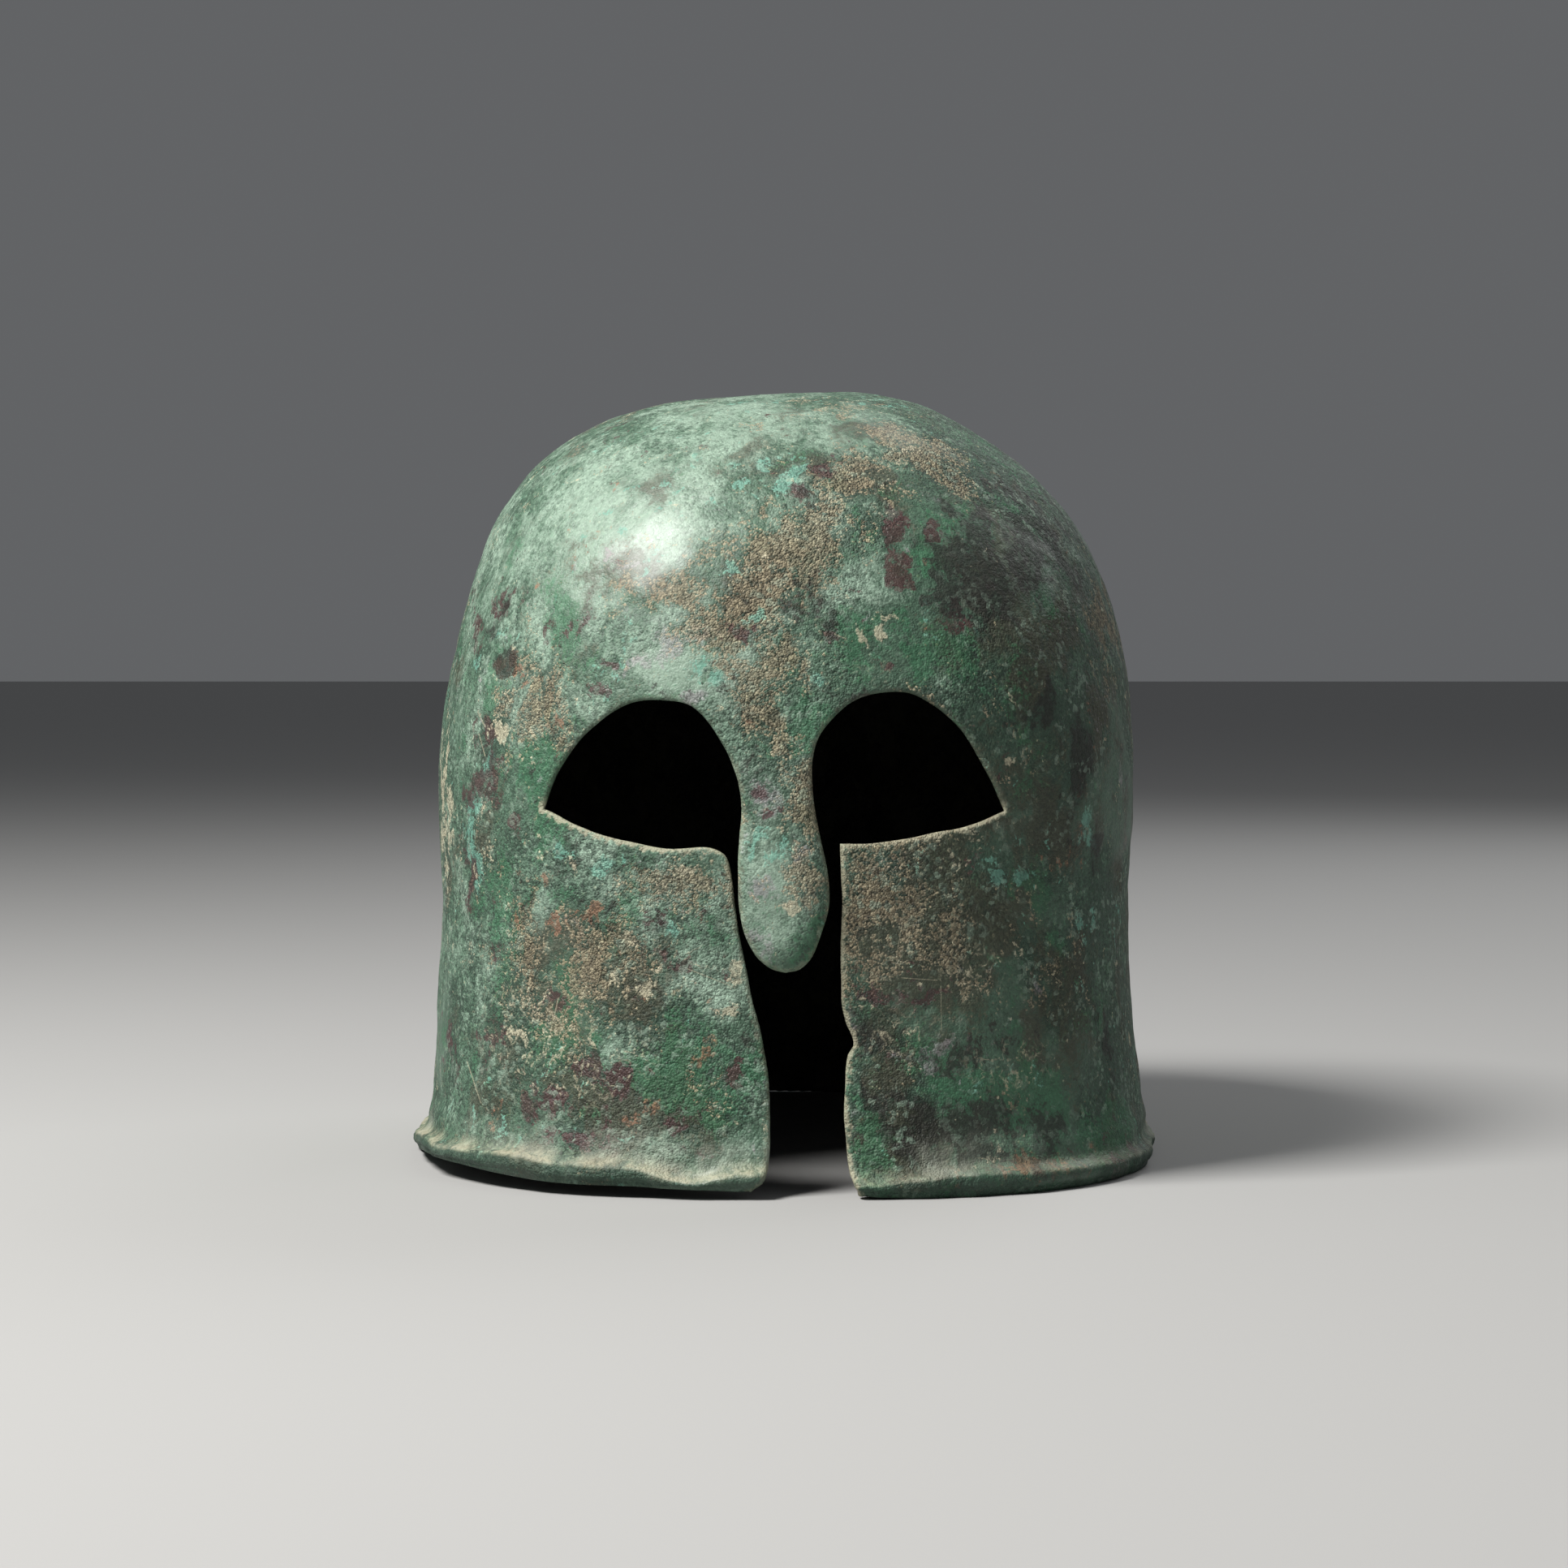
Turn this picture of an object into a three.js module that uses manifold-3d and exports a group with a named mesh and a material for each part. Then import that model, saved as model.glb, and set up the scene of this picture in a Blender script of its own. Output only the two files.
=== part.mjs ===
// Corinthian helmet, beaten from one sheet of bronze: crown, cheeks, nasal and flared rim in one piece.
// Millimetres, +Z up, the face towards -Y, origin on the floor under the middle of the helmet.
import * as THREE from 'three';
import { mergeVertices } from 'three/addons/utils/BufferGeometryUtils.js';
import Module from 'manifold-3d';

// ---------------------------------------------------------------- driving dimensions
const HEIGHT = 221.4;            // floor to the apex of the crown
const FACE_WALL = 1.9;           // sheet thickness at the face, sides and nape
const CROWN_WALL = 1.3;          // sheet thickness at the apex
const THINNING_START = 120;      // height from which the sheet thins towards the crown
const FLARE_TOP = 27;            // height at which the bottom flare starts
const COLUMNS_ROUND = 78;        // facets round the helmet
const OUTER_STEP = 12.5;         // largest facet height of the outer skin
const INNER_STEP = 19;           // largest facet height of the inner skin
const INNER_CROWN_START = 150;   // the inner skin keeps every row of facets above this height
const INNER_ROW_STRIDE = 2;      // and one row in this many below it, down to the flare

// Horizontal sections of the outer skin: distances from the axis to each side, and the exponent of the
// rounded outline (2 is an ellipse, more is fuller).
const SECTION_COLUMNS = ['z', 'left', 'right', 'front', 'back', 'fullness'];
const SECTIONS = [
  [0.0, 107.9, 107.9, 117.4, 140.4, 2.60],
  [0.8, 108.8, 108.8, 118.3, 141.3, 2.60],
  [3.2, 109.0, 109.0, 118.5, 141.5, 2.60],
  [5.0, 107.8, 108.4, 117.2, 140.2, 2.58],
  [8.5, 106.0, 107.2, 115.2, 137.6, 2.56],
  [13.0, 104.6, 106.4, 113.6, 134.8, 2.54],
  [20.0, 103.2, 104.8, 112.2, 131.4, 2.52],
  [34.0, 102.2, 103.0, 111.0, 127.4, 2.50],
  [56.0, 101.0, 101.3, 110.4, 125.4, 2.48],
  [77.0, 100.5, 101.2, 110.4, 126.6, 2.46],
  [99.0, 101.3, 102.2, 110.8, 129.6, 2.42],
  [120.0, 100.8, 102.2, 111.0, 131.4, 2.38],
  [136.0, 98.8, 101.2, 110.2, 130.8, 2.34],
  [152.0, 95.0, 98.0, 107.2, 127.0, 2.30],
  [167.0, 91.0, 93.4, 102.0, 120.0, 2.26],
  [181.0, 86.2, 86.9, 94.2, 109.8, 2.22],
  [193.0, 79.2, 77.8, 84.6, 98.0, 2.18],
  [203.0, 69.4, 67.4, 73.0, 84.6, 2.13],
  [211.0, 56.2, 55.2, 58.6, 67.8, 2.08],
  [217.0, 39.8, 39.8, 40.8, 47.0, 2.04],
  [220.3, 21.4, 21.6, 21.6, 24.8, 2.00],
  [HEIGHT, 0, 0, 0, 0, 2.00],
].map((row) => Object.fromEntries(SECTION_COLUMNS.map((name, k) => [name, row[k]])));
const AXIS_Y = -11.5;            // the widest place lies forward of the middle

// Inset of the inner skin from the outer one in the flared rim, measured level.
const RIM_INSETS = [
  { z: 0.0, inset: 5.2 },
  { z: 3.2, inset: 6.0 },
  { z: 8.5, inset: 3.6 },
  { z: 13.0, inset: 2.7 },
  { z: 20.0, inset: 2.1 },
  { z: FLARE_TOP, inset: FACE_WALL },
];

// Soft dents (negative) and swellings (positive) of the sheet, square to it. A stretch of 2 makes one
// twice as long from front to back as it is wide.
const DENTS = [
  { x: 30, y: -14, z: 219, radius: 25, stretch: 2.2, height: 1.6 },
  { x: -14, y: -12, z: 221, radius: 15, stretch: 2.0, height: -0.5 },
  { x: -46, y: -16, z: 212, radius: 26, stretch: 1.8, height: 0.9 },
  { x: 62, y: -14, z: 206, radius: 18, stretch: 1.6, height: -1.0 },
  { x: -100, y: -24, z: 76, radius: 16, stretch: 1.5, height: -0.6 },
  { x: 36, y: 112, z: 150, radius: 26, stretch: 1.0, height: -1.6 },
  { x: -60, y: 102, z: 96, radius: 22, stretch: 1.0, height: -1.2 },
];
const DENT_EDGE = 1.4;           // how steeply a dent's side falls

// The rim is bent up at the front left: middle and reach in degrees round from +X, and how far up.
const RIM_LIFTS = [
  { middle: 218, reach: 36, height: 4.7 },
  { middle: 248, reach: 38, height: 2.8 },
];
const LIFT_FADE = 34;            // height over which a lift dies out

// Face opening, seen from the front (x, z): eyes, mouth slot, and the passage beside the nasal.
const SLOT_BOTTOM = -8;
const CHEEK_LEFT = [[-10.0, 1.2], [-6.6, 2.6], [-4.8, 5.2], [-3.8, 11.0], [-3.6, 20.0], [-4.6, 32.0],
  [-6.1, 42.6], [-8.3, 52.0], [-10.0, 62.0], [-11.9, 70.6], [-13.4, 79.0], [-14.2, 86.0], [-15.6, 91.2],
  [-19.0, 93.0], [-31.0, 93.0], [-40.0, 94.2], [-49.0, 96.2], [-58.0, 99.2]];
const CORNER_LEFT = [-66.0, 103.2];
const BROW_LEFT = [[-61.4, 113.9], [-54.4, 123.3], [-47.7, 128.8], [-42.2, 131.5], [-33.0, 132.7],
  [-25.8, 131.5], [-20.4, 126.9], [-16.0, 120.2], [-13.0, 113.2], [-11.4, 106.5]];
const BROW_RIGHT = [[7.8, 106.5], [7.5, 112.0], [8.0, 117.8], [9.8, 123.6], [13.6, 128.6], [19.5, 132.9],
  [26.0, 134.6], [35.0, 134.4], [42.0, 130.4], [47.5, 125.0], [52.6, 117.6], [57.0, 109.6]];
const CORNER_RIGHT = [60.2, 102.4];
const LID_RIGHT = [[51.3, 99.2], [42.0, 97.4], [33.7, 95.6], [25.0, 94.6], [15.4, 94.4]];
const CHEEK_RIGHT = [[15.4, 88.0], [15.3, 64.0], [15.5, 51.5], [16.6, 46.4]];
const NICK = [[18.7, 40.4], [17.2, 38.0]];
const CHEEK_RIGHT_LOW = [[16.6, 34.0], [16.2, 20.0], [17.6, 9.0], [20.0, 0.0]];
const CURVE_STEPS = 2;           // facets to each span of a drawn curve
const OPENING_FRONT_Y = -150;    // the opening is cut from in front of the face
const OPENING_BACK_Y = -20;      // to inside the helmet, short of its middle

// Nasal: outline (left, right) by height, how far its face stands out of the skin, and its thickness.
const NASAL = [
  { z: 148, left: -13.0, right: 11.5, proud: -0.9, thick: 0.8 },
  { z: 136, left: -15.5, right: 10.5, proud: -0.4, thick: 1.6 },
  { z: 127, left: -15.8, right: 9.6, proud: 0.0, thick: 2.4 },
  { z: 119, left: -15.2, right: 8.4, proud: 0.5, thick: 3.4 },
  { z: 111, left: -12.6, right: 7.9, proud: 1.5, thick: 4.6 },
  { z: 103, left: -11.4, right: 8.3, proud: 2.8, thick: 5.6 },
  { z: 95, left: -11.7, right: 9.8, proud: 3.9, thick: 6.7 },
  { z: 88, left: -12.2, right: 11.4, proud: 4.7, thick: 7.6 },
  { z: 81, left: -12.3, right: 11.9, proud: 5.2, thick: 8.3 },
  { z: 74, left: -11.4, right: 11.1, proud: 5.2, thick: 8.3 },
  { z: 68, left: -9.4, right: 9.1, proud: 4.6, thick: 7.4 },
  { z: 63.5, left: -6.4, right: 6.9, proud: 3.8, thick: 5.6 },
  { z: 61, left: -3.2, right: 4.4, proud: 2.9, thick: 3.6 },
  { z: 60, left: -0.8, right: 2.0, proud: 1.9, thick: 1.4 },
];
const NASAL_ROUND = 16;          // facets round the nasal
const NASAL_BULGE = 0.8;         // the nasal seen from above: 1 is an ellipse, less is fuller

// ---------------------------------------------------------------- fineness of the working
const TINY = 1e-6;               // stands in for a width of nothing at the apex
const SLOPE_STEP = 0.01;         // step over which the skin's slope is measured
const SEARCH_STEPS = 40;         // halvings that find a height on the wall
const WELD = 1e-4;               // corners closer than this are one

// ---------------------------------------------------------------- the outer skin
const profile = new Map();       // spline through the sections, by distance along the wall
{
  const apex = SECTIONS.at(-1);
  const before = SECTIONS.at(-2);
  const { left, right, front, back } = before;
  const pastApex = { ...before, left: -left, right: -right, front: -front, back: -back };
  const rows = [...SECTIONS, pastApex];
  const places = [0];
  for (let k = 1; k < rows.length; k += 1) {
    const step = Math.hypot(rows[k].front - rows[k - 1].front, rows[k].z - rows[k - 1].z);
    places.push(places[k - 1] + step);
  }
  const values = rows.flatMap((row) => SECTION_COLUMNS.map((name) => row[name]));
  profile.set('places', places);
  profile.set('top', places[SECTIONS.indexOf(apex)]);
  profile.set('spline', new THREE.CubicInterpolant(places, values, SECTION_COLUMNS.length));
}

function sectionAt(place) {
  const values = profile.get('spline').evaluate(place);
  return Object.fromEntries(SECTION_COLUMNS.map((name, k) => [name, values[k]]));
}

function liftAt(angle, z) {
  const degrees = THREE.MathUtils.euclideanModulo(THREE.MathUtils.radToDeg(angle), 360);
  const lifts = RIM_LIFTS.map(({ middle, reach, height }) => {
    const away = Math.min(Math.abs(degrees - middle) / reach, 1);
    return height * (1 - away * away) ** 2;
  });
  return Math.hypot(...lifts) * Math.exp(-z / LIFT_FADE);
}

function plainPoint(angle, place) {
  const { z, left, right, front, back, fullness } = sectionAt(place);
  const across = Math.cos(angle);
  const along = Math.sin(angle);
  const width = Math.max(across < 0 ? left : right, TINY);
  const depth = Math.max(along < 0 ? front : back, TINY);
  const reach = Math.abs(across / width) ** fullness + Math.abs(along / depth) ** fullness;
  const radius = reach ** (-1 / fullness);
  return new THREE.Vector3(radius * across, AXIS_Y + radius * along, z + liftAt(angle, z));
}

function skinNormal(angle, place) {
  const round = plainPoint(angle + SLOPE_STEP, place).sub(plainPoint(angle - SLOPE_STEP, place));
  const low = Math.max(place - SLOPE_STEP, 0);
  const high = Math.min(place + SLOPE_STEP, profile.get('top'));
  const up = plainPoint(angle, high).sub(plainPoint(angle, low));
  const normal = round.cross(up);
  return normal.length() > TINY ? normal.normalize() : new THREE.Vector3(0, 0, 1);
}

function dentAt(point) {
  return DENTS.reduce((sum, { x, y, z, radius, stretch, height }) => {
    const away = Math.hypot(point.x - x, (point.y - y) / stretch, point.z - z) / radius;
    return sum + height * Math.exp(-DENT_EDGE * away * away);
  }, 0);
}

function outerPoint(angle, place) {
  const point = plainPoint(angle, place);
  return point.addScaledVector(skinNormal(angle, place), dentAt(point));
}

// ---------------------------------------------------------------- the inner skin
function rimInset(z) {
  const k = RIM_INSETS.findIndex((row) => row.z > z);
  const [low, high] = [RIM_INSETS[k - 1], RIM_INSETS[k]];
  return THREE.MathUtils.mapLinear(z, low.z, high.z, low.inset, high.inset);
}

function innerPoint(angle, place) {
  const { z } = sectionAt(place);
  const normal = skinNormal(angle, place);
  const point = outerPoint(angle, place);
  if (z < FLARE_TOP) {
    normal.setZ(0).normalize();
    return point.addScaledVector(normal, -rimInset(z));
  }
  const thinning = THREE.MathUtils.smoothstep(z, THINNING_START, HEIGHT);
  return point.addScaledVector(normal, -THREE.MathUtils.lerp(FACE_WALL, CROWN_WALL, thinning));
}

// ---------------------------------------------------------------- shell of the two skins
function rowPlaces(largestStep) {
  const places = profile.get('places').slice(0, SECTIONS.length);
  return places.flatMap((place, k) => {
    if (k === 0) return [place];
    const before = places[k - 1];
    const count = Math.ceil((place - before) / largestStep);
    const parts = Array.from({ length: count }, (_, i) => (i + 1) / count);
    return parts.map((part) => THREE.MathUtils.lerp(before, place, part));
  });
}

function innerRowPlaces() {
  const wanted = rowPlaces(INNER_STEP);
  return wanted.filter((place, k) => {
    const { z } = sectionAt(place);
    const isEnd = k === 0 || k === wanted.length - 1;
    const inFlare = RIM_INSETS.some((row) => Math.abs(row.z - z) < SLOPE_STEP);
    const isKept = z > INNER_CROWN_START || (z > FLARE_TOP && k % INNER_ROW_STRIDE === 0);
    return isEnd || inFlare || isKept;
  });
}

function shellGeometry() {
  const positions = [];
  const faces = [];
  const angles = Array.from({ length: COLUMNS_ROUND }, (_, k) => (k * 2 * Math.PI) / COLUMNS_ROUND);
  const addSkin = (pointAt, places, inside) => {
    const first = positions.length / 3;
    const index = (row, column) => first + row * COLUMNS_ROUND + (column % COLUMNS_ROUND);
    const addFace = (a, b, c) => faces.push(...(inside ? [a, c, b] : [a, b, c]));
    const rows = places.slice(0, -1);
    rows.forEach((place) => angles.forEach((angle) => positions.push(...pointAt(angle, place).toArray())));
    positions.push(...pointAt(0, places.at(-1)).toArray());
    const apex = index(rows.length, 0);
    rows.forEach((_, row) => angles.forEach((__, column) => {
      if (row === rows.length - 1) {
        addFace(index(row, column), index(row, column + 1), apex);
        return;
      }
      addFace(index(row, column), index(row, column + 1), index(row + 1, column + 1));
      addFace(index(row, column), index(row + 1, column + 1), index(row + 1, column));
    }));
    return first;
  };
  const outer = addSkin(outerPoint, rowPlaces(OUTER_STEP), false);
  const inner = addSkin(innerPoint, innerRowPlaces(), true);
  angles.forEach((_, column) => {
    const next = (column + 1) % COLUMNS_ROUND;
    faces.push(inner + column, inner + next, outer + next);
    faces.push(inner + column, outer + next, outer + column);
  });
  const geometry = new THREE.BufferGeometry();
  geometry.setAttribute('position', new THREE.Float32BufferAttribute(positions, 3));
  geometry.setIndex(faces);
  return geometry;
}

// ---------------------------------------------------------------- the face opening
function curveThrough(points) {
  const curve = new THREE.SplineCurve(points.map(([x, z]) => new THREE.Vector2(x, z)));
  return curve.getPoints((points.length - 1) * CURVE_STEPS);
}

function faceOpeningGeometry() {
  const outline = [
    new THREE.Vector2(CHEEK_LEFT[0][0], SLOT_BOTTOM),
    ...curveThrough([...CHEEK_LEFT, CORNER_LEFT]),
    ...curveThrough([CORNER_LEFT, ...BROW_LEFT]).slice(1),
    ...curveThrough([...BROW_RIGHT, CORNER_RIGHT]),
    ...curveThrough([CORNER_RIGHT, ...LID_RIGHT]).slice(1),
    ...curveThrough(CHEEK_RIGHT),
    ...NICK.map(([x, z]) => new THREE.Vector2(x, z)),
    ...curveThrough(CHEEK_RIGHT_LOW),
    new THREE.Vector2(CHEEK_RIGHT_LOW.at(-1)[0], SLOT_BOTTOM),
  ];
  const geometry = new THREE.ExtrudeGeometry(new THREE.Shape(outline), {
    depth: OPENING_BACK_Y - OPENING_FRONT_Y,
    steps: 1,
    bevelEnabled: false,
  });
  geometry.rotateX(Math.PI / 2);
  geometry.translate(0, OPENING_BACK_Y, 0);
  return geometry;
}

// ---------------------------------------------------------------- the nasal
function skinFront(x, z) {
  let low = 0;
  let high = profile.get('top');
  for (let k = 0; k < SEARCH_STEPS; k += 1) {
    const middle = (low + high) / 2;
    if (sectionAt(middle).z < z) low = middle;
    else high = middle;
  }
  const { left, right, front, fullness } = sectionAt(low);
  const width = x < 0 ? left : right;
  return AXIS_Y - front * (1 - Math.abs(x / width) ** fullness) ** (1 / fullness);
}

function nasalGeometry() {
  const columns = ['z', 'left', 'right', 'proud', 'thick'];
  const places = NASAL.map((row) => -row.z);
  const values = NASAL.flatMap((row) => columns.map((name) => row[name]));
  const spline = new THREE.CubicInterpolant(places, values, columns.length);
  const levels = NASAL.flatMap((row, k) => (k ? [(NASAL[k - 1].z + row.z) / 2, row.z] : [row.z]));
  const positions = [];
  const faces = [];
  levels.forEach((level) => {
    const [z, left, right, proud, thick] = spline.evaluate(-level);
    for (let k = 0; k < NASAL_ROUND; k += 1) {
      const turn = (k * 2 * Math.PI) / NASAL_ROUND;
      const x = (left + right) / 2 + ((right - left) / 2) * Math.cos(turn);
      const bulge = Math.sign(Math.sin(turn)) * Math.abs(Math.sin(turn)) ** NASAL_BULGE;
      positions.push(x, skinFront(x, z) - (proud - thick / 2) - (thick / 2) * bulge, z);
    }
  });
  const index = (row, column) => row * NASAL_ROUND + (column % NASAL_ROUND);
  for (let row = 0; row < levels.length - 1; row += 1) {
    for (let column = 0; column < NASAL_ROUND; column += 1) {
      faces.push(index(row, column), index(row, column + 1), index(row + 1, column + 1));
      faces.push(index(row, column), index(row + 1, column + 1), index(row + 1, column));
    }
  }
  for (let column = 1; column < NASAL_ROUND - 1; column += 1) {
    const last = levels.length - 1;
    faces.push(index(0, 0), index(0, column + 1), index(0, column));
    faces.push(index(last, 0), index(last, column), index(last, column + 1));
  }
  const geometry = new THREE.BufferGeometry();
  geometry.setAttribute('position', new THREE.Float32BufferAttribute(positions, 3));
  geometry.setIndex(faces);
  return geometry;
}

// ---------------------------------------------------------------- cuts and joins
const wasm = await Module();
wasm.setup();

function toSolid(geometry) {
  geometry.deleteAttribute('normal');
  geometry.deleteAttribute('uv');
  const merged = mergeVertices(geometry, WELD);
  return new wasm.Manifold(new wasm.Mesh({
    numProp: 3,
    vertProperties: merged.attributes.position.array,
    triVerts: Uint32Array.from(merged.index.array),
  }));
}

function toGeometry(solid) {
  const mesh = solid.getMesh();
  const geometry = new THREE.BufferGeometry();
  geometry.setAttribute('position', new THREE.BufferAttribute(mesh.vertProperties, 3));
  geometry.setIndex(new THREE.BufferAttribute(mesh.triVerts, 1));
  geometry.computeVertexNormals();
  return geometry;
}

const openShell = toSolid(shellGeometry()).subtract(toSolid(faceOpeningGeometry()));
const shell = openShell.add(toSolid(nasalGeometry()));

// ---------------------------------------------------------------- the helmet
const bronze = new THREE.MeshStandardMaterial({ color: 0x6f9a84, roughness: 0.62, metalness: 0.35 });

const helmetShell = new THREE.Mesh(toGeometry(shell), bronze);
helmetShell.name = 'helmet_shell';

const helmet = new THREE.Group();
helmet.add(helmetShell);

export default helmet;
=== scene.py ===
import math

import bpy
import numpy as np
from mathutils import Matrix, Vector, noise
from mathutils.geometry import delaunay_2d_cdt


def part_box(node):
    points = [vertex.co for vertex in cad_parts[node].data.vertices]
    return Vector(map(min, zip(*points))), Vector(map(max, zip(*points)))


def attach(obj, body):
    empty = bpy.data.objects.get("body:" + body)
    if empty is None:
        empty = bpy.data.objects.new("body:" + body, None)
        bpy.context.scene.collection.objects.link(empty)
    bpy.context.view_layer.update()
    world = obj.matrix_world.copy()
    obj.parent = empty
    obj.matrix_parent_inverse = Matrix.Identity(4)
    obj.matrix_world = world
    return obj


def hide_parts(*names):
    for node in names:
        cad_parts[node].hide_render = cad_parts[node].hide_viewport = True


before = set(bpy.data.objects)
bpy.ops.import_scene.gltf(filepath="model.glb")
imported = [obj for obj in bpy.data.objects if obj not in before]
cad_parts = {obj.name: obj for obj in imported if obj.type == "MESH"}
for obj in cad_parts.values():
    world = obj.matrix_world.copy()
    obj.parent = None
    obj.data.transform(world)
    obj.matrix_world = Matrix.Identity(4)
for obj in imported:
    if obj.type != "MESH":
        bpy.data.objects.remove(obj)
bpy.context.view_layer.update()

SHELL = "helmet_shell"
MM = 1000.0  # millimetres in a metre
noise.seed_set(3)  # without it, Blender's vector noise differs from run to run

# ---- camera and studio
CAMERA_AWAY = 1.100  # from the helmet's widest place
CAMERA_HEIGHT = 0.141
CAMERA_LENS = 85.45  # millimetres
CAMERA_SENSOR = 36.0
CAMERA_DOWN = 1.774  # degrees below level
FLOOR_HALF, FLOOR_COLOR, FLOOR_ROUGHNESS = 40.0, (0.40, 0.40, 0.395, 1.0), 0.85
WORLD_COLOR, WORLD_STRENGTH = (0.72, 0.74, 0.77, 1.0), 0.17

# ---- the sheet's form, in millimetres
AXIS_Y = -11.5  # the widest place lies forward of the middle
HEIGHT = 221.4

# Level sections of the outer skin: height, distances from the axis to the left, right, front and back,
# the exponent of the rounded outline, and how far the inner skin lies inside. The first row is the
# middle of the lip's underside.
SECTIONS = np.array([
    (0, 105.3, 105.3, 114.8, 137.8, 2.6, 0),
    (0, 107.9, 107.9, 117.4, 140.4, 2.6, 5.2),
    (0.8, 108.8, 108.8, 118.3, 141.3, 2.6, 5.9),
    (3.2, 109, 109, 118.5, 141.5, 2.6, 6),
    (5, 107.8, 108.4, 117.2, 140.2, 2.58, 5),
    (8.5, 106, 107.2, 115.2, 137.6, 2.56, 3.6),
    (13, 104.6, 106.4, 113.6, 134.8, 2.54, 2.7),
    (20, 103.2, 104.8, 112.2, 131.4, 2.52, 2.1),
    (34, 102.2, 103, 111, 127.4, 2.5, 1.9),
    (56, 101, 101.3, 110.4, 125.4, 2.48, 1.9),
    (77, 100.5, 101.2, 110.4, 126.6, 2.46, 1.9),
    (99, 101.3, 102.2, 110.8, 129.6, 2.42, 1.9),
    (120, 100.8, 102.2, 111, 131.4, 2.38, 1.9),
    (136, 98.8, 101.2, 110.2, 130.8, 2.34, 1.85),
    (152, 95, 98, 107.2, 127, 2.3, 1.7),
    (167, 91, 93.4, 102, 120, 2.26, 1.6),
    (181, 86.2, 86.9, 94.2, 109.8, 2.22, 1.5),
    (193, 79.2, 77.8, 84.6, 98, 2.18, 1.45),
    (203, 69.4, 67.4, 73, 84.6, 2.13, 1.4),
    (211, 56.2, 55.2, 58.6, 67.8, 2.08, 1.35),
    (217, 39.8, 39.8, 40.8, 47, 2.04, 1.3),
    (220.3, 21.4, 21.6, 21.6, 24.8, 2, 1.3),
    (HEIGHT, 0, 0, 0, 0, 2, 1.3),
])
FLARE_TOP = 27.0  # below it the inner skin is measured level
SLOT_PLACE = 2.6  # the outer edge of the underside, by distance along the wall
SLOPE_STEP = 0.02  # the skin's slopes are taken over this much on either side
APEX = 0.05  # nearer to the apex than this the normal is upright

# Soft dents (negative) and swellings: place, radius, stretch from front to back, height.
DENTS = (
    (30, -14, 219, 25, 2.2, 1.6),
    (-14, -12, 221, 15, 2, -0.5),
    (-46, -16, 212, 26, 1.8, 0.9),
    (62, -14, 206, 18, 1.6, -1),
    (-100, -24, 76, 16, 1.5, -0.6),
    (36, 112, 150, 26, 1, -1.6),
    (-60, 102, 96, 22, 1, -1.2),
)
DENT_EDGE = 1.4

# The rim is bent up at the front left: middle and reach in degrees round from +X, and how far up.
RIM_LIFTS = ((218, 36, 4.7), (248, 38, 2.8))
LIFT_FADE = 34.0

# Face opening seen from the front (x, z).
CHEEK_LEFT = ((-6.6, 2.6), (-4.8, 5.2), (-3.8, 11), (-3.6, 20), (-4.6, 32), (-6.1, 42.6), (-8.3, 52),
              (-10, 62), (-11.9, 70.6), (-13.4, 79), (-14.2, 86), (-15.6, 91.2), (-19, 93),
              (-31, 93), (-40, 94.2), (-49, 96.2), (-58, 99.2))
CORNER_LEFT = (-66, 103.2)
BROW_LEFT = ((-61.4, 113.9), (-54.4, 123.3), (-47.7, 128.8), (-42.2, 131.5), (-33, 132.7), (-25.8, 131.5),
             (-20.4, 126.9), (-16, 120.2), (-13, 113.2), (-11.3, 104), (-11.7, 95), (-12.3, 86),
             (-12.3, 80), (-11.4, 74), (-9.5, 68.4), (-6.4, 63.4), (-3.2, 60.8), (0.3, 59.8))
BROW_RIGHT = ((0.3, 59.8), (4, 60.6), (7, 63.4), (9.2, 68), (11.1, 74), (11.9, 80.4), (11.5, 87.6),
              (9.9, 95), (8.3, 103), (7.5, 112), (8, 117.8), (9.8, 123.6), (13.6, 128.6),
              (19.5, 132.9), (26, 134.6), (35, 134.4), (42, 130.4), (47.5, 125), (52.6, 117.6),
              (57, 109.6))
CORNER_RIGHT = (60.2, 102.4)
LID_RIGHT = ((51.3, 99.2), (42, 97.4), (33.7, 95.6), (25, 94.6), (15.4, 94.4))
CHEEK_RIGHT = ((15.4, 88), (15.3, 64), (15.5, 51.5), (16.6, 46.4))
NICK = ((16.6, 46.4), (18.7, 40.4), (17.2, 38), (16.6, 34))
CHEEK_RIGHT_LOW = ((16.6, 34), (16.2, 20), (17.6, 9), (19.6, 2))
SLOT_FOOT = (-9.4, 20.2)  # x of the slot's two corners on the underside
FOOT_POINTS, FOOT_BEND = 4, 1.5  # points from each corner up, and how their line bends
FIND_STEPS, FIND_ROUNDS = 2400, 12  # for the skin's point behind one seen from the front

# Nasal by height: how far its face stands out of the skin, its thickness, and its half width.
NASAL = np.array([
    (56, 5.2, 8.3, 11.4), (72, 5.2, 8.3, 11.4), (81, 5.2, 8.3, 12.1), (88, 4.7, 7.6, 11.8), (95, 3.9, 6.7, 10.8),
    (103, 2.8, 5.6, 9.9), (111, 1.6, 4.5, 10), (119, 0.7, 3.3, 12), (127, 0.2, 2.5, 15), (137, 0, 1.9, 18),
])
NASAL_AXIS = -0.6  # x of its middle line
NASAL_FREE = 112.0  # below this height the nasal hangs free between the eyes
NASAL_JOINS = (110.0, 118.0)  # its full width passes into the brow
NASAL_HALF = 13.2  # its free part is nearer to the axis than this
NASAL_FRONT, NASAL_REACH = -60, 26  # it swells forward of this y, this far to either side
BRIDGE_SIDE, BRIDGE_TOP = (7.0, 21.0), (128.0, 138.0)  # above, it fades sideways and upward
NASAL_LENS = 0.45  # exponent of its lens-like section
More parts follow.
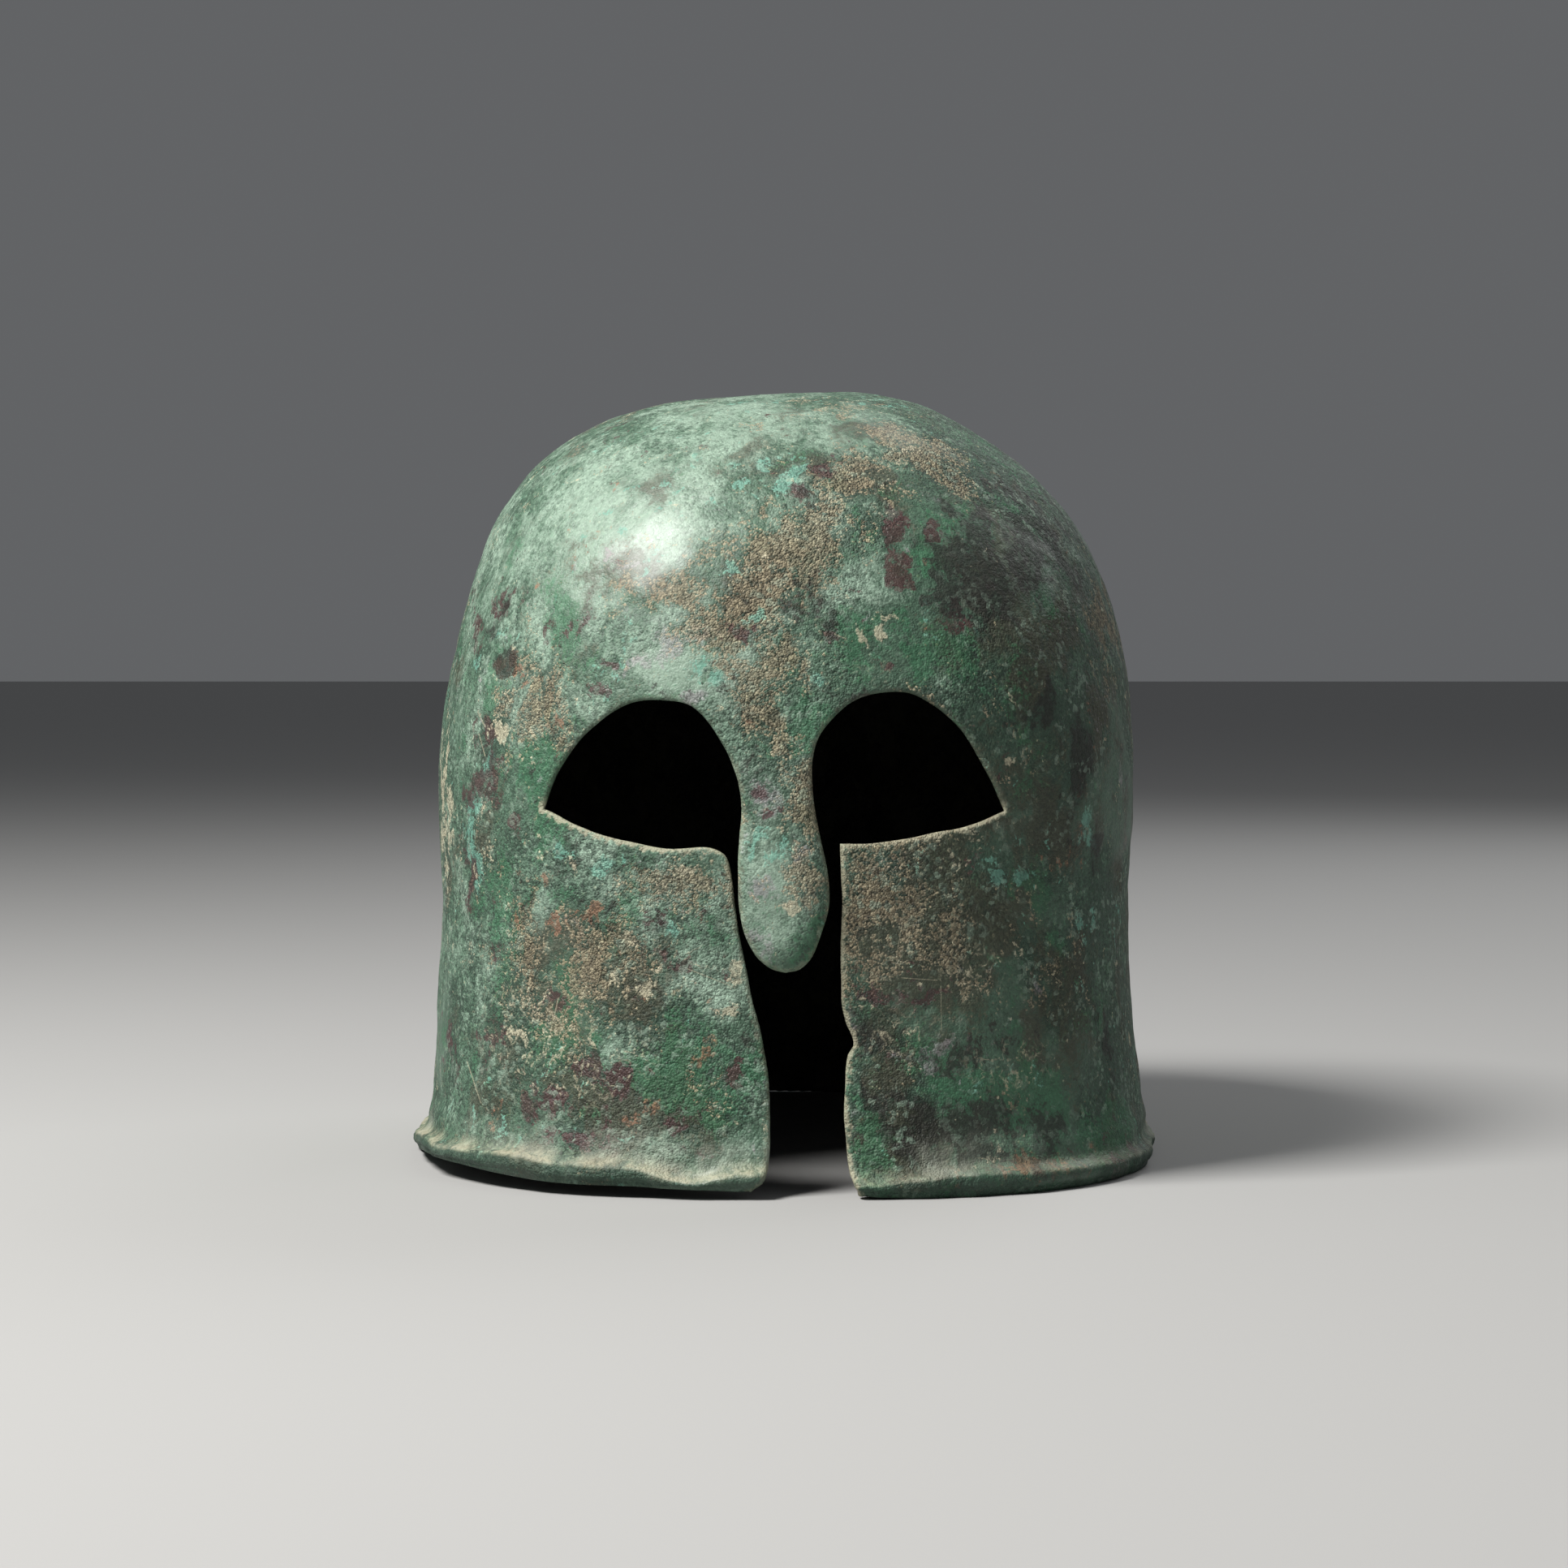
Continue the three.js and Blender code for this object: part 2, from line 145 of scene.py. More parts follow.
LENS_TOP = (104.0, 122.0)  # which passes into the plain edge
# The line between nasal and cheeks: its heights and its x, on the left and on the right.
GAP_LEFT = ((59.0, 68.4, 80.0, 95.0), (-7.6, -10.6, -12.9, -12.9))
GAP_RIGHT = ((59.0, 68.0, 80.4, 95.0), (11.0, 12.0, 13.6, 13.6))
CHEEK_TOP = 96
LID_HIGH, LID_REACH, LID_SLOPE = 103.2, 66.0, 0.21  # the lids' line falls from the outer corners
FIT_MARGIN = 0.03  # left between the sheet and the solid's box

# Meshing.
OUTER_SPACING = 1.59
INNER_SPACING = 3.4
EDGE_SPACING = 1.3
EDGE_ROWS = (0.18, 0.55, 1.1, 1.8)  # rows of points beside the opening's edge, by distance from it
ROWS_KEEP = 0.9  # a row's point is left out where it comes nearer than this part of that
ROWS_FOOT = 0.25  # and below this place
LATTICE_KEEPS = 0.55  # the lattice starts this part of its spacing beyond the last row
LATTICE_ROW = 0.87  # its rows lie this part of the spacing apart
OUTLINE_LONGER = 1.04  # a section's outline against a circle of its mean radius
RIM_RADIUS = 118.0
OUTER_ROUND = 1.3  # distance over which the outer skin rounds into the edge
INNER_ROUND = 1.0
LIP_LEVELS = (0.0, 0.9, 1.7, 2.6, 3.4, 4.2, 5.0, 6.0, 7.1)
INNER_LIP_LEVELS = (0.0, 1.3, 2.6, 3.6, 5.0, 7.1)
FAR = 40.0  # distances from the opening's edge are not told beyond this
FACE_FRONT, FACE_TOP = -40, 180  # the opening is forward of this y and below this height
CHUNK = 4000  # points measured at a time
DISC_RADIUS, DISC_STEPS = 1000.0, 4000  # of the flat map that the triangles are made on
DISC_CAP = 0.4  # the wall next to the apex that the map spreads evenly
SLOT_BEYOND = 1.1  # how far out the slot is kept open on the map
SAME_POINT = 1e-7

# ---- the old surface, in millimetres
# Where each seed reads the noise: its steps along the axes.
NOISE_STEPS, WANDER_STEPS, STAIN_STEPS = (17.3, 5.1, -11.7), (9.1, -4.7, 6.3), (3.1, 7.7, -2.9)
# Noise along the normal: size of its forms, octaves, seed, and its height.
HAMMER, HAMMER_HEIGHT = (38.0, 2, 1), 0.34  # planishing marks, on both skins alike
LUMPS, LUMPS_HEIGHT = (11.0, 3, 2), 0.17
CRUST, CRUST_HEIGHT, CRUST_MORE = (4.6, 2, 3), 0.26, 0.2  # only in the sand crust; MORE is added to its noise
WANDERS = ((15.0, 0.42, 4), (6.0, 0.17, 5))  # sideways: size, reach, seed
PIT_CELL, PIT_RADIUS, PIT_DEPTH = 12.0, 2.6, 0.36
PIT_SHUFFLE, PIT_ABOVE = 7.0, 0.1  # a cell with a random number above this has a pit
LIP_FADE = (5.0, 17.0)  # the lumpy lip ends between these heights
LIP_RADIUS = 115.0  # of the ring on which its waves are read
LIP_WAVES = ((30.0, 2, 7), (13.0, 3, 8))  # long and short: size, octaves, seed
# Its height of waves inward and, at the ledge, upward: then what they swing about, and the waves' shares.
LIP_DRAWN_IN, DRAWN_MEAN, DRAWN_SHORT, DRAWN_MOST = 1.3, 0.4, 0.45, 1.4
LIP_LEDGE_WAVE, LEDGE_LONG, LEDGE_SHORT = 1.6, 0.8, 0.3
WAVES_FROM, BENDS_FROM = (0.4, 3.0), (0.4, 5.6)  # heights over which they set in
LIP_BENDS = ((-25, 9, -3.4), (-58, 20, 1.2), (24, 9, -2.4), (50, 16, 1.2))  # front: middle x, half width, rise
LIP_FOOT_RISE, FOOT_MEAN = 0.55, 0.3
UNDERSIDE = 0.01  # points below this height are on the underside
# Rows of middle, reach, height: two hollows above the lip, its sharp ledge, and an undercut below.
LIP_SHAPE = ((16.0, 4.5, -0.8), (8.6, 2.2, -0.8), (4.7, 1.2, 1.0), (1.0, 1.2, -0.9))
RELIEF_EDGE = (0.3, 3.0)  # the relief sets in between these distances from the opening

# Stains seen from the front, by kind: middle (x, z), half width, half height, strength, and for some a
# turn in degrees. Some kinds are partly painted light and shade, as noted at them.
STAINS = {"pale": (
    # The first pale patch, on the forehead's left, is partly painted light: it brightens the place where the light
    # falls most.
    (-45, 183, 34, 20, 1, 20), (-12, 207, 30, 9, 0.8), (-28, 139, 24, 8, 0.9, 8), (10, 188, 15, 9, 0.7, 20),
    (22, 166, 12, 7, 0.4, 30), (-29, 68, 15, 11, 0.6), (-23, 55, 11, 4, 1, -10), (-4, 76, 8, 16, 0.9),
    (-84, 176, 6, 22, 0.5, 80), (-66, 160, 14, 16, 0.5), (-92, 60, 4, 30, 0.4, 90), (-42, 36, 14, 7, 0.2),
    (22, 8, 7, 6, 0.5), (-88, 128, 3, 12, 0.5), (-72, 132, 12, 12, 0.6),
), "green": (
    (-59, 152, 4, 12, 1, 10), (-68, 112, 10, 14, 0.9), (-27, 33, 20, 12, 0.9), (-76, 78, 6, 22, 0.5),
    (8, 126, 4, 9, 1), (37, 171, 7, 9, 0.8), (40, 147, 20, 9, 0.8), (8, 70, 5, 10, 0.6),
    (60, 27, 24, 6, 1, -22), (23, 14, 6, 10, 0.8), (-60, 44, 8, 10, 0.7, -40), (-80, 26, 6, 8, 0.6),
    (66, 78, 8, 12, 0.8), (90, 12, 12, 7, 0.9), (8, 101, 4, 5, 0.8), (20, 172, 6, 7, 0.6),
), "tan": (
    (18, 194, 14, 7, 0.7, 25), (4, 174, 20, 9, 1, 18), (-8, 161, 20, 8, 1, 22), (-14, 151, 13, 7, 0.9, 10),
    (-4, 140, 11, 8, 1, 35), (-6, 129, 9, 8, 0.9), (-1, 119, 7, 9, 0.6), (-25, 161, 11, 8, 0.7, 20),
    (-44, 168, 14, 7, 0.4, 10), (-68, 132, 12, 8, 0.6, -20), (-25, 84, 14, 6, 1), (-52, 64, 17, 15, 0.7),
    (-68, 42, 14, 9, 0.6, -20), (-22, 31, 8, 6, 0.6), (7, 109, 4, 12, 0.9), (6, 86, 5, 8, 1),
    (24, 80, 11, 14, 1), (34, 70, 12, 13, 0.9), (24, 61, 9, 8, 0.9), (43, 58, 15, 14, 0.6),
    (36, 200, 14, 6, 0.6, -30), (90, 152, 5, 20, 0.6), (-96, 150, 3, 20, 0.5), (31, 30, 9, 7, 0.5),
), "cream": (
    (26, 152, 3.2, 3, 1.2), (62, 116, 1.7, 1.7, 1.1), (-36, 55, 3.4, 2.1, 1.2, 15), (-43, 68, 2.6, 2.3, 1.2),
    (3, 78, 2.6, 2.4, 0.9), (-78, 122, 2.6, 2.8, 1.2), (-14, 61, 3.4, 6, 0.9), (-14, 50, 4, 3.6, 1),
    (-97, 108, 2.5, 30, 0.8), (-68, 38, 10, 8, 0.5, -30), (-50, 40, 6, 8, 0.5, 30), (-57, 88, 3, 3, 0.8),
    (-64, 92, 4, 3, 0.7), (39, 118, 6, 3, 0.4), (48, 60, 3, 4, 0.7), (64, 64, 2.4, 2, 0.6), (-25, 89, 3, 1.6, 0.7),
    (-34, 60, 3, 2, 0.7), (-72, 164, 3, 3, 0.5), (24, 53, 5, 3, 0.8), (66, 31, 4, 2.4, 0.45, -10),
    (35, 43, 4, 2, 0.6, 30),
), "plum": (
    (30, 177, 5, 9, 1.1, 12), (33, 166, 3.5, 8, 0.9), (41, 179, 2.6, 4, 1), (12, 195, 4, 2.6, 1),
    (4, 189, 2.6, 2, 0.9), (-83, 123, 4, 10, 1.2, 12), (-82, 111, 6, 7, 1.1), (-50, 135, 2.4, 4, 1.1, 25),
    (-76, 158, 5, 6, 0.8), (-61, 151, 6, 4, 0.7), (-87, 150, 2.2, 15, 0.9, 8), (-79, 66, 3, 7, 0.5),
    (-86, 104, 1.8, 4, 1), (-88, 84, 1.5, 6, 0.9), (-43, 87, 5, 3, 0.9, 15), (-52, 91, 5, 1.8, 0.8, 30),
    (-33, 74, 6, 3, 1.1, 25), (-33, 65, 3.6, 4, 1), (-27, 61, 4, 3, 1.1), (-18, 60, 6, 2.4, 1, -22),
    (-21, 75, 4, 4, 0.8), (-63, 53, 6, 4, 0.8), (-53, 33, 3, 2.6, 1.2), (-43, 29.5, 3.6, 2.8, 1.2, -25),
    (-13, 33, 4, 6, 1.2), (-63, 25, 3.6, 4, 1), (-70, 21, 3, 3, 1), (-80, 40, 4, 5, 0.9),
    (-57, 15.5, 6, 3.4, 0.9), (-26, 17, 3, 2, 0.9), (-22, 13, 5, 1.6, 0.8), (-4, 101, 7, 2.2, 0.8, 32),
    (-7, 108, 4, 3.4, 0.6), (12, 148, 7, 4, 0.8), (28, 142, 5, 4, 0.8), (31, 53, 14, 6, 0.8, -8),
    (20, 160, 6, 3, 0.7, -20), (-10, 152, 9, 3, 0.7, 12), (-48, 143, 3, 2, 0.9), (47, 157, 8, 9, 0.7),
    (-20, 108, 3, 2, 0.5), (-74, 98, 2.5, 6, 0.7), (-95, 34, 2, 10, 0.7), (26, 38, 3, 4, 0.7),
    (-30, 20, 5, 2.4, 0.8, 10), (1, 67, 4, 2, 0.5, 10),
# Umber: dull brown stains; those on the front's right side are partly painted shade, darkening the side away from the
# light.
), "umber": (
    (45, 62, 28, 26, 1.2), (26, 40, 10, 16, 1), (56, 100, 26, 12, 0.5), (62, 160, 22, 26, 0.8, 20),
    (84, 110, 10, 30, 0.7), (-44, 168, 14, 8, 0.35), (0, 165, 20, 14, 0.5, 25), (-48, 60, 22, 18, 0.6),
    (38, 16, 22, 12, 1), (-80, 140, 8, 14, 0.4), (-34, 24, 28, 9, 0.6), (-3, 128, 10, 12, 0.5),
    (30, 190, 26, 8, 0.5, -15), (70, 52, 20, 20, 1),
# Lilac: partly a painted sheen, on the forehead's left where the light falls and on the nasal's lit left edge; the
# rest are lilac tints of the patina.
), "lilac": (
    (-38, 141, 14, 4, 0.9, 14), (-28, 148, 12, 5, 0.6, 5), (-46, 172, 12, 6, 0.5), (-8, 80, 4, 12, 0.7),
    (-23, 133.6, 6, 2, 0.9), (-7, 108, 5, 6, 0.6), (-60, 74, 10, 6, 0.3), (30, 88, 10, 4, 0.4),
), "turquoise": (
    (-19, 138, 4.6, 5.6, 1.2), (10, 139, 3.6, 3, 0.9), (-58, 92, 6, 3, 1.1), (-48.5, 87.5, 5.5, 4, 1.2),
    (0, 194, 10, 6, 0.8), (-87, 98, 1.6, 5, 1), (-86, 87, 2, 7, 1, 8), (-81, 116, 1.8, 6, 1.1, -8),
    (-84, 106, 2, 6, 1, -12), (-86, 140, 2, 5, 0.9), (84, 98, 1.8, 6, 1, -8), (66, 30, 8, 4, 0.7, -15),
    (-4, 92, 7, 6, 0.8), (-78, 150, 3, 6, 0.8), (-30, 72, 4, 3, 0.7), (-50, 133, 4, 3, 0.6, 20),
    (58, 84, 5, 3, 0.8), (-14, 168, 4, 3, 0.9), (-8, 155, 4, 3, 0.8), (82, 70, 2, 5, 0.7), (52, 30, 3, 5, 0.7),
), "rust": (
    (-76, 142, 4, 5, 1.2), (-70, 137, 5, 4, 0.9), (-62.5, 129, 3.6, 6, 1.1), (-57, 125, 5, 2, 0.8, 38),
    (-52, 75, 4, 3, 1), (-61, 72, 7, 6, 0.8), (-39, 59, 2, 3, 1), (-38, 52, 2.6, 1.6, 1),
    (-73, 76, 3, 9, 0.9), (-64, 84, 6, 4, 0.7), (63, 7, 14, 5, 1.1), (-39, 23, 4, 3.6, 1.1), (-46, 64, 5, 4, 0.9),
    (-9, 128, 4, 4, 0.6), (46, 70, 4, 4, 0.6), (-11, 60, 2, 3, 0.7), (-22, 36, 6, 3, 0.6), (75, 88, 5, 3, 0.4),
# Dark: dark spots; those on the front's right side are partly painted shade, darkening the side away from the light.
), "dark": (
    (52, 162, 15, 15, 0.9), (70, 176, 9, 12, 0.7), (81, 116, 5, 16, 1.1, -8), (84, 90, 4, 9, 1),
    (72, 130, 6, 12, 0.6, -15), (42, 17, 17, 8, 0.8), (66, 18, 13, 4, 0.5, -10), (27, 27, 6, 4, 0.8),
    (23, 42, 4, 5, 0.9), (-76.5, 142.5, 1.8, 2.6, 1.2), (-82, 116, 4, 5, 0.6), (60, 42, 14, 5, 0.5),
    (44, 36, 12, 5, 0.5), (20, 132, 4, 2, 0.5, 30), (-34, 134, 9, 1.5, 0.5), (88, 40, 6, 16, 0.6),
)}
SMOOTH = (
    (-42, 177, 34, 26, 1, 15), (-28, 140, 22, 9, 1, 8), (-3, 82, 9, 24, 1), (-8, 206, 26, 8, 0.7),
    (-70, 110, 9, 12, 0.5), (62, 100, 14, 18, 0.6),
)
LACE = (
    (-66, 40, 17, 14, 1, -30), (-50, 34, 14, 9, 0.9, 20), (-45, 56, 10, 8, 0.5), (30, 43, 12, 8, 0.7),
    (50, 60, 12, 9, 0.6), (-28, 62, 12, 8, 0.6), (62, 34, 14, 7, 0.7), (24, 140, 12, 5, 0.4),
)
STAIN_EDGE = 0.8  # how fast a stain's strength falls from its middle
STAIN_WANDERS = ((10.0, 3.2, 11), (4.0, 1.3, 12))  # size, reach, seed
LEDGE = (4.0, 4.9, 10.0)  # the lip's ledge is cream, a crust with a painted highlight where it faces up into the light: heights where that starts, is full, and ends
LEDGE_RAGGED = 0.25  # how far its line follows the stains' ragged outlines
LEDGE_LESS, LEDGE_LESS_X = 0.7, (-10.0, 40.0)  # less so on the front's right side
FRONT_FADE = (5.0, 35.0)  # the front's own marks set in between these distances forward of the middle
BACK_CRUST, BACK_LACE = 0.35, 0.3  # the back has this much of them all over
# How much less of each kind there is at the front beyond its own places.
CALM = {"umber": 0.2, "pale": 0.3, "green": 0.2, "tan": 0.35, "cream": 0.3, "plum": 0.3, "lilac": 0.4,
        "turquoise": 0.35, "rust": 0.45, "dark": 0.25}
BACK_CALM = 0.5  # and how much of that calm the back has
RIGHT_PAINTED_SHADE, RIGHT_X = 0.55, (5.0, 55.0)  # the front's right side is painted darker: painted shade on the side away from the light
# How pale the opening's edge is worn, with a painted highlight added on the lids and cheeks, which face the light
# from above: the nasal's, the brows' (in shade), and what the lids and cheeks have beyond that.
NASAL_WORN, BROW_WORN, LID_WORN_AND_LIT = 0.3, 0.12, 0.88
NASAL_WORN_X, LID_WORN_Z = 13.5, (1.0, 4.0)  # reach from the nasal's axis, and above the lids' line


def smoothstep(value, low, high):
    part = np.clip((value - low) / (high - low), 0.0, 1.0)
    return part * part * (3.0 - 2.0 * part)


class Spline:
    """Smooth curve through rows of numbers, by place; each slope is the mean of its neighbours'."""

    def __init__(self, places, rows):
        self.places = np.asarray(places, float)
        self.rows = np.asarray(rows, float)
        steps = np.diff(self.rows, axis=0) / np.diff(self.places)[:, None]
        inner = (steps[1:] + steps[:-1]) / 2
        self.slopes = np.vstack([steps[:1], inner, steps[-1:]])

    def __call__(self, place):
        place = np.clip(np.asarray(place, float), self.places[0], self.places[-1])
        k = np.clip(np.searchsorted(self.places, place, side="right") - 1, 0, len(self.places) - 2)
        length = self.places[k + 1] - self.places[k]
        p = ((place - self.places[k]) / length)[..., None]
        a, b = self.rows[k], self.rows[k + 1]
        da, db = self.slopes[k] * length[..., None], self.slopes[k + 1] * length[..., None]
        return (a * (1 + 2 * p) * (1 - p) ** 2 + da * p * (1 - p) ** 2
                + b * p * p * (3 - 2 * p) + db * p * p * (p - 1))


def section_spline():
    """The sections by distance along the wall, with a mirrored row past the apex for a round crown."""
    past_apex = SECTIONS[-2] * np.array([1, -1, -1, -1, -1, 1, 1])
    rows = np.vstack([SECTIONS, past_apex])
    lengths = np.hypot(np.diff(rows[:, 3]), np.diff(rows[:, 0]))
    places = np.concatenate([[0.0], np.cumsum(lengths)])
    return Spline(places, rows), places[len(SECTIONS) - 1]


SECTION_AT, TOP = section_spline()
NASAL_AT = Spline(NASAL[:, 0], NASAL[:, 1:])


def lift_at(angle, z):
    degrees = np.degrees(angle) % 360.0
    lifts = [height * (1 - np.clip(np.abs(degrees - middle) / reach, 0, 1) ** 2) ** 2
             for middle, reach, height in RIM_LIFTS]
    return np.sqrt(sum(lift ** 2 for lift in lifts)) * np.exp(-z / LIFT_FADE)


def plain_skin(angle, place):
    """Points of the outer skin without dents, and the section's numbers there."""
    z, left, right, front, back, fullness, inset = np.moveaxis(SECTION_AT(place), -1, 0)
    across, along = np.cos(angle), np.sin(angle)
    width = np.maximum(np.where(across < 0, left, right), 1e-6)
    depth = np.maximum(np.where(along < 0, front, back), 1e-6)
    radius = (np.abs(across / width) ** fullness + np.abs(along / depth) ** fullness) ** (-1 / fullness)
    z = np.maximum(z, 0.0)
    points = np.stack([radius * across, AXIS_Y + radius * along, z + lift_at(angle, z)], axis=-1)
    return points, z, inset


def unit(vectors):
    return vectors / np.maximum(np.linalg.norm(vectors, axis=-1, keepdims=True), 1e-12)


def skin_slopes(angle, place):
    """How the skin's points move with the angle and with the place, and the normal."""
    step = SLOPE_STEP
    turn = (plain_skin(angle + step, place)[0] - plain_skin(angle - step, place)[0]) / (2 * step)
    low, high = np.maximum(place - step, 0.0), np.minimum(place + step, TOP)
    climb = (plain_skin(angle, high)[0] - plain_skin(angle, low)[0]) / (high - low)[..., None]
    normal = unit(np.cross(turn, climb))
    normal = np.where((place > TOP - APEX)[..., None], np.array([0.0, 0.0, 1.0]), normal)
    return turn, climb, normal


def dents_at(points):
    total = np.zeros(len(points))
    for x, y, z, radius, stretch, height in DENTS:
        away = (points - (x, y, z)) / (1, stretch, 1)
        total += height * np.exp(-DENT_EDGE * (away ** 2).sum(axis=1) / radius ** 2)
    return total


# ---- the opening's edge
def through(points):
    """Points EDGE_SPACING apart on a smooth curve through those given."""
    points = np.array(points, float)
    places = np.concatenate([[0.0], np.cumsum(np.linalg.norm(np.diff(points, axis=0), axis=1))])
    count = max(2, int(round(places[-1] / EDGE_SPACING)) + 1)
    return Spline(places, points)(np.linspace(0.0, places[-1], count))


def front_place(x, z):
    """Angle and place of the front skin's point that is seen at (x, z)."""
    table = np.linspace(SLOT_PLACE, TOP, FIND_STEPS)
    heights = SECTION_AT(table)[:, 0]
    angle = np.full(len(x), -math.pi / 2)
    place = np.interp(z, heights, table)
    for _ in range(FIND_ROUNDS):
        row = SECTION_AT(place)
        width = np.where(x < 0, row[:, 1], row[:, 2])
        depth = row[:, 3] * (1 - np.abs(x / width) ** row[:, 5]) ** (1 / row[:, 5])
        angle = np.arctan2(-depth, x)
        place = np.interp(z - lift_at(angle, row[:, 0]), heights, table)
    return angle, place


def opening_edge():
    """(angle, place) along the opening's edge, from the slot's left foot up and round to its right foot."""
    stretches = [through(points) for points in (
        CHEEK_LEFT + (CORNER_LEFT,), (CORNER_LEFT,) + BROW_LEFT, BROW_RIGHT + (CORNER_RIGHT,),
        (CORNER_RIGHT,) + LID_RIGHT, (LID_RIGHT[-1],) + CHEEK_RIGHT, NICK, CHEEK_RIGHT_LOW)]
    drawn = np.vstack([stretches[0]] + [stretch[1:] for stretch in stretches[1:]])
    angle, place = front_place(*drawn.T)
    steps = np.linspace(0.0, 1.0, FOOT_POINTS + 1)[:-1]
    feet = []
    for x, end in zip(SLOT_FOOT, (0, -1)):
        foot = math.atan2(-SECTIONS[0, 3], x)
        feet.append(np.stack([foot + (angle[end] - foot) * steps ** FOOT_BEND, place[end] * steps], axis=1))
    return np.vstack([feet[0], np.stack([angle, place], axis=1), feet[1][::-1]])


def edge_distance(points, edge):
    """Distance of each point from the edge's line, or FAR for points that are nowhere near it."""
    distance = np.full(len(points), FAR)
    near = np.nonzero((points[:, 1] < FACE_FRONT) & (points[:, 2] < FACE_TOP))[0]
    starts, spans = edge[:-1], np.diff(edge, axis=0)
    lengths = np.maximum((spans ** 2).sum(axis=1), 1e-9)
    for chunk in np.array_split(near, max(1, len(near) // CHUNK)):
        gap = points[chunk, None, :] - starts[None]
        part = np.clip((gap * spans).sum(axis=2) / lengths, 0, 1)
        distance[chunk] = np.linalg.norm(gap - part[..., None] * spans, axis=2).min(axis=1)
    return np.minimum(distance, FAR)


# ---- meshing
def disc_radius():
    """The map of the wall to a flat disc that keeps small shapes: radius in the disc by place."""
    places = np.linspace(0.0, TOP - DISC_CAP, DISC_STEPS)
    radius = SECTION_AT(places)[:, 1:5].mean(axis=1)
    grown = np.concatenate([[0.0], np.cumsum(np.diff(places) * 2 / (radius[1:] + radius[:-1]))])
    return places, DISC_RADIUS * np.exp(-grown)


DISC_PLACES, DISC_RADII = disc_radius()


def on_disc(angle, place):
    radius = np.interp(place, DISC_PLACES, DISC_RADII)
    radius = np.where(place > DISC_PLACES[-1], DISC_RADII[-1] * (TOP - place) / (TOP - DISC_PLACES[-1]), radius)
    return np.stack([radius * np.cos(angle), radius * np.sin(angle)], axis=-1)


def inside(points, polygon):
    """Which points lie inside the polygon."""
    x, y = points[:, 0], points[:, 1]
    result = np.zeros(len(points), bool)
    for (ax, ay), (bx, by) in zip(polygon, np.roll(polygon, -1, axis=0)):
        crosses = (ay > y) != (by > y)
        if crosses.any():
            at = (bx - ax) * (y[crosses] - ay) / (by - ay) + ax
            result[crosses] ^= x[crosses] < at
    return result


def lattice(spacing, lip_levels):
    """Rows of (angle, place) round the helmet, spacing apart, with set rows at the lip."""
    first = lip_levels[-1]
    count = int(round((TOP - first) / (spacing * LATTICE_ROW)))
    levels = [*lip_levels[1:], *np.linspace(first, TOP, count + 1)[1:-1]]
    rows = []
    for k, level in enumerate(levels):
        row = SECTION_AT(level)
        around = math.pi * (row[1:3].mean() + row[3:5].mean()) * OUTLINE_LONGER
        number = max(6, int(round(around / spacing)))
        turn = (np.arange(number) + 0.5 * (k % 2)) * 2 * math.pi / number
        rows.append(np.stack([turn, np.full(number, level)], axis=1))
    rows.append(np.array([[0.0, TOP]]))
    return np.vstack(rows)


def edge_rows(edge, points):
    """Rows of (angle, place) beside the opening's edge, on the metal's side."""
    turn, climb, normal = skin_slopes(*edge.T)
    inward = np.cross(normal, unit(np.gradient(points, axis=0)))
    a, b, c = (turn ** 2).sum(1), (turn * climb).sum(1), (climb ** 2).sum(1)
    scale = a * c - b * b
    rows = []
    for away in EDGE_ROWS:
        move = inward * away
        p, q = (turn * move).sum(1), (climb * move).sum(1)
        rows.append(edge + np.stack([(p * c - q * b) / scale, (q * a - p * b) / scale], axis=1))
    return rows


def mesh_skin(spacing, lip_levels, edge, edge_points, rim):
    """Points (angle, place) and triangles of one skin. The first points are the edge and then the rim."""
    polygon = on_disc(*edge.T)
    polygon = np.vstack([polygon, SLOT_BEYOND * polygon[-1], SLOT_BEYOND * polygon[0]])

    def clear(places, gap):
        """Those that are on the metal and further than the gap from the edge."""
        keep = edge_distance(plain_skin(*places.T)[0], edge_points) > gap
        return places[keep & ~inside(on_disc(*places.T), polygon)]

    beside = [clear(row[row[:, 1] > ROWS_FOOT], ROWS_KEEP * away)
              for away, row in zip(EDGE_ROWS, edge_rows(edge, edge_points))]
    between = clear(lattice(spacing, lip_levels), EDGE_ROWS[-1] + LATTICE_KEEPS * spacing)
    places = np.vstack([edge, rim] + beside + [between])
    flat = on_disc(*places.T)
    along = [(k, k + 1) for k in range(len(edge) - 1)]
    made = delaunay_2d_cdt([Vector(p) for p in flat], along, [], 0, SAME_POINT)
    if len(made[0]) != len(places):
        raise RuntimeError(f"the triangulation changed the points: {len(places)} to {len(made[0])}")
    faces = np.array(made[2])
    faces = faces[~inside(flat[faces].mean(axis=1), polygon)]
    corners = flat[faces]
    one, two = corners[:, 1] - corners[:, 0], corners[:, 2] - corners[:, 0]
    area = one[:, 0] * two[:, 1] - one[:, 1] * two[:, 0]
    faces[area < 0] = faces[area < 0][:, ::-1]
    return places, faces


def rim_ring(edge):
    """(angle, place 0) round the rim's underside from the slot's right foot to its left foot."""
    start, stop = edge[-1, 0], edge[0, 0] + 2 * math.pi
    count = int(round((stop - start) * RIM_RADIUS / OUTER_SPACING))
    turn = np.linspace(start, stop, count + 1)[1:-1]
    return np.stack([turn, np.zeros(len(turn))], axis=1)


# ---- the two skins
def seed_place(seed, steps):
    """Where in the noise a seed reads."""
    return Vector([seed * step for step in steps])


def noise_at(points, size, octaves, seed):
    """Smooth noise of about -1 to 1, with forms of the given size, at each point."""
    offset = seed_place(seed, NOISE_STEPS)
    return np.array([noise.fractal(Vector(p) / size + offset, 1.0, 2.0, octaves) for p in points])


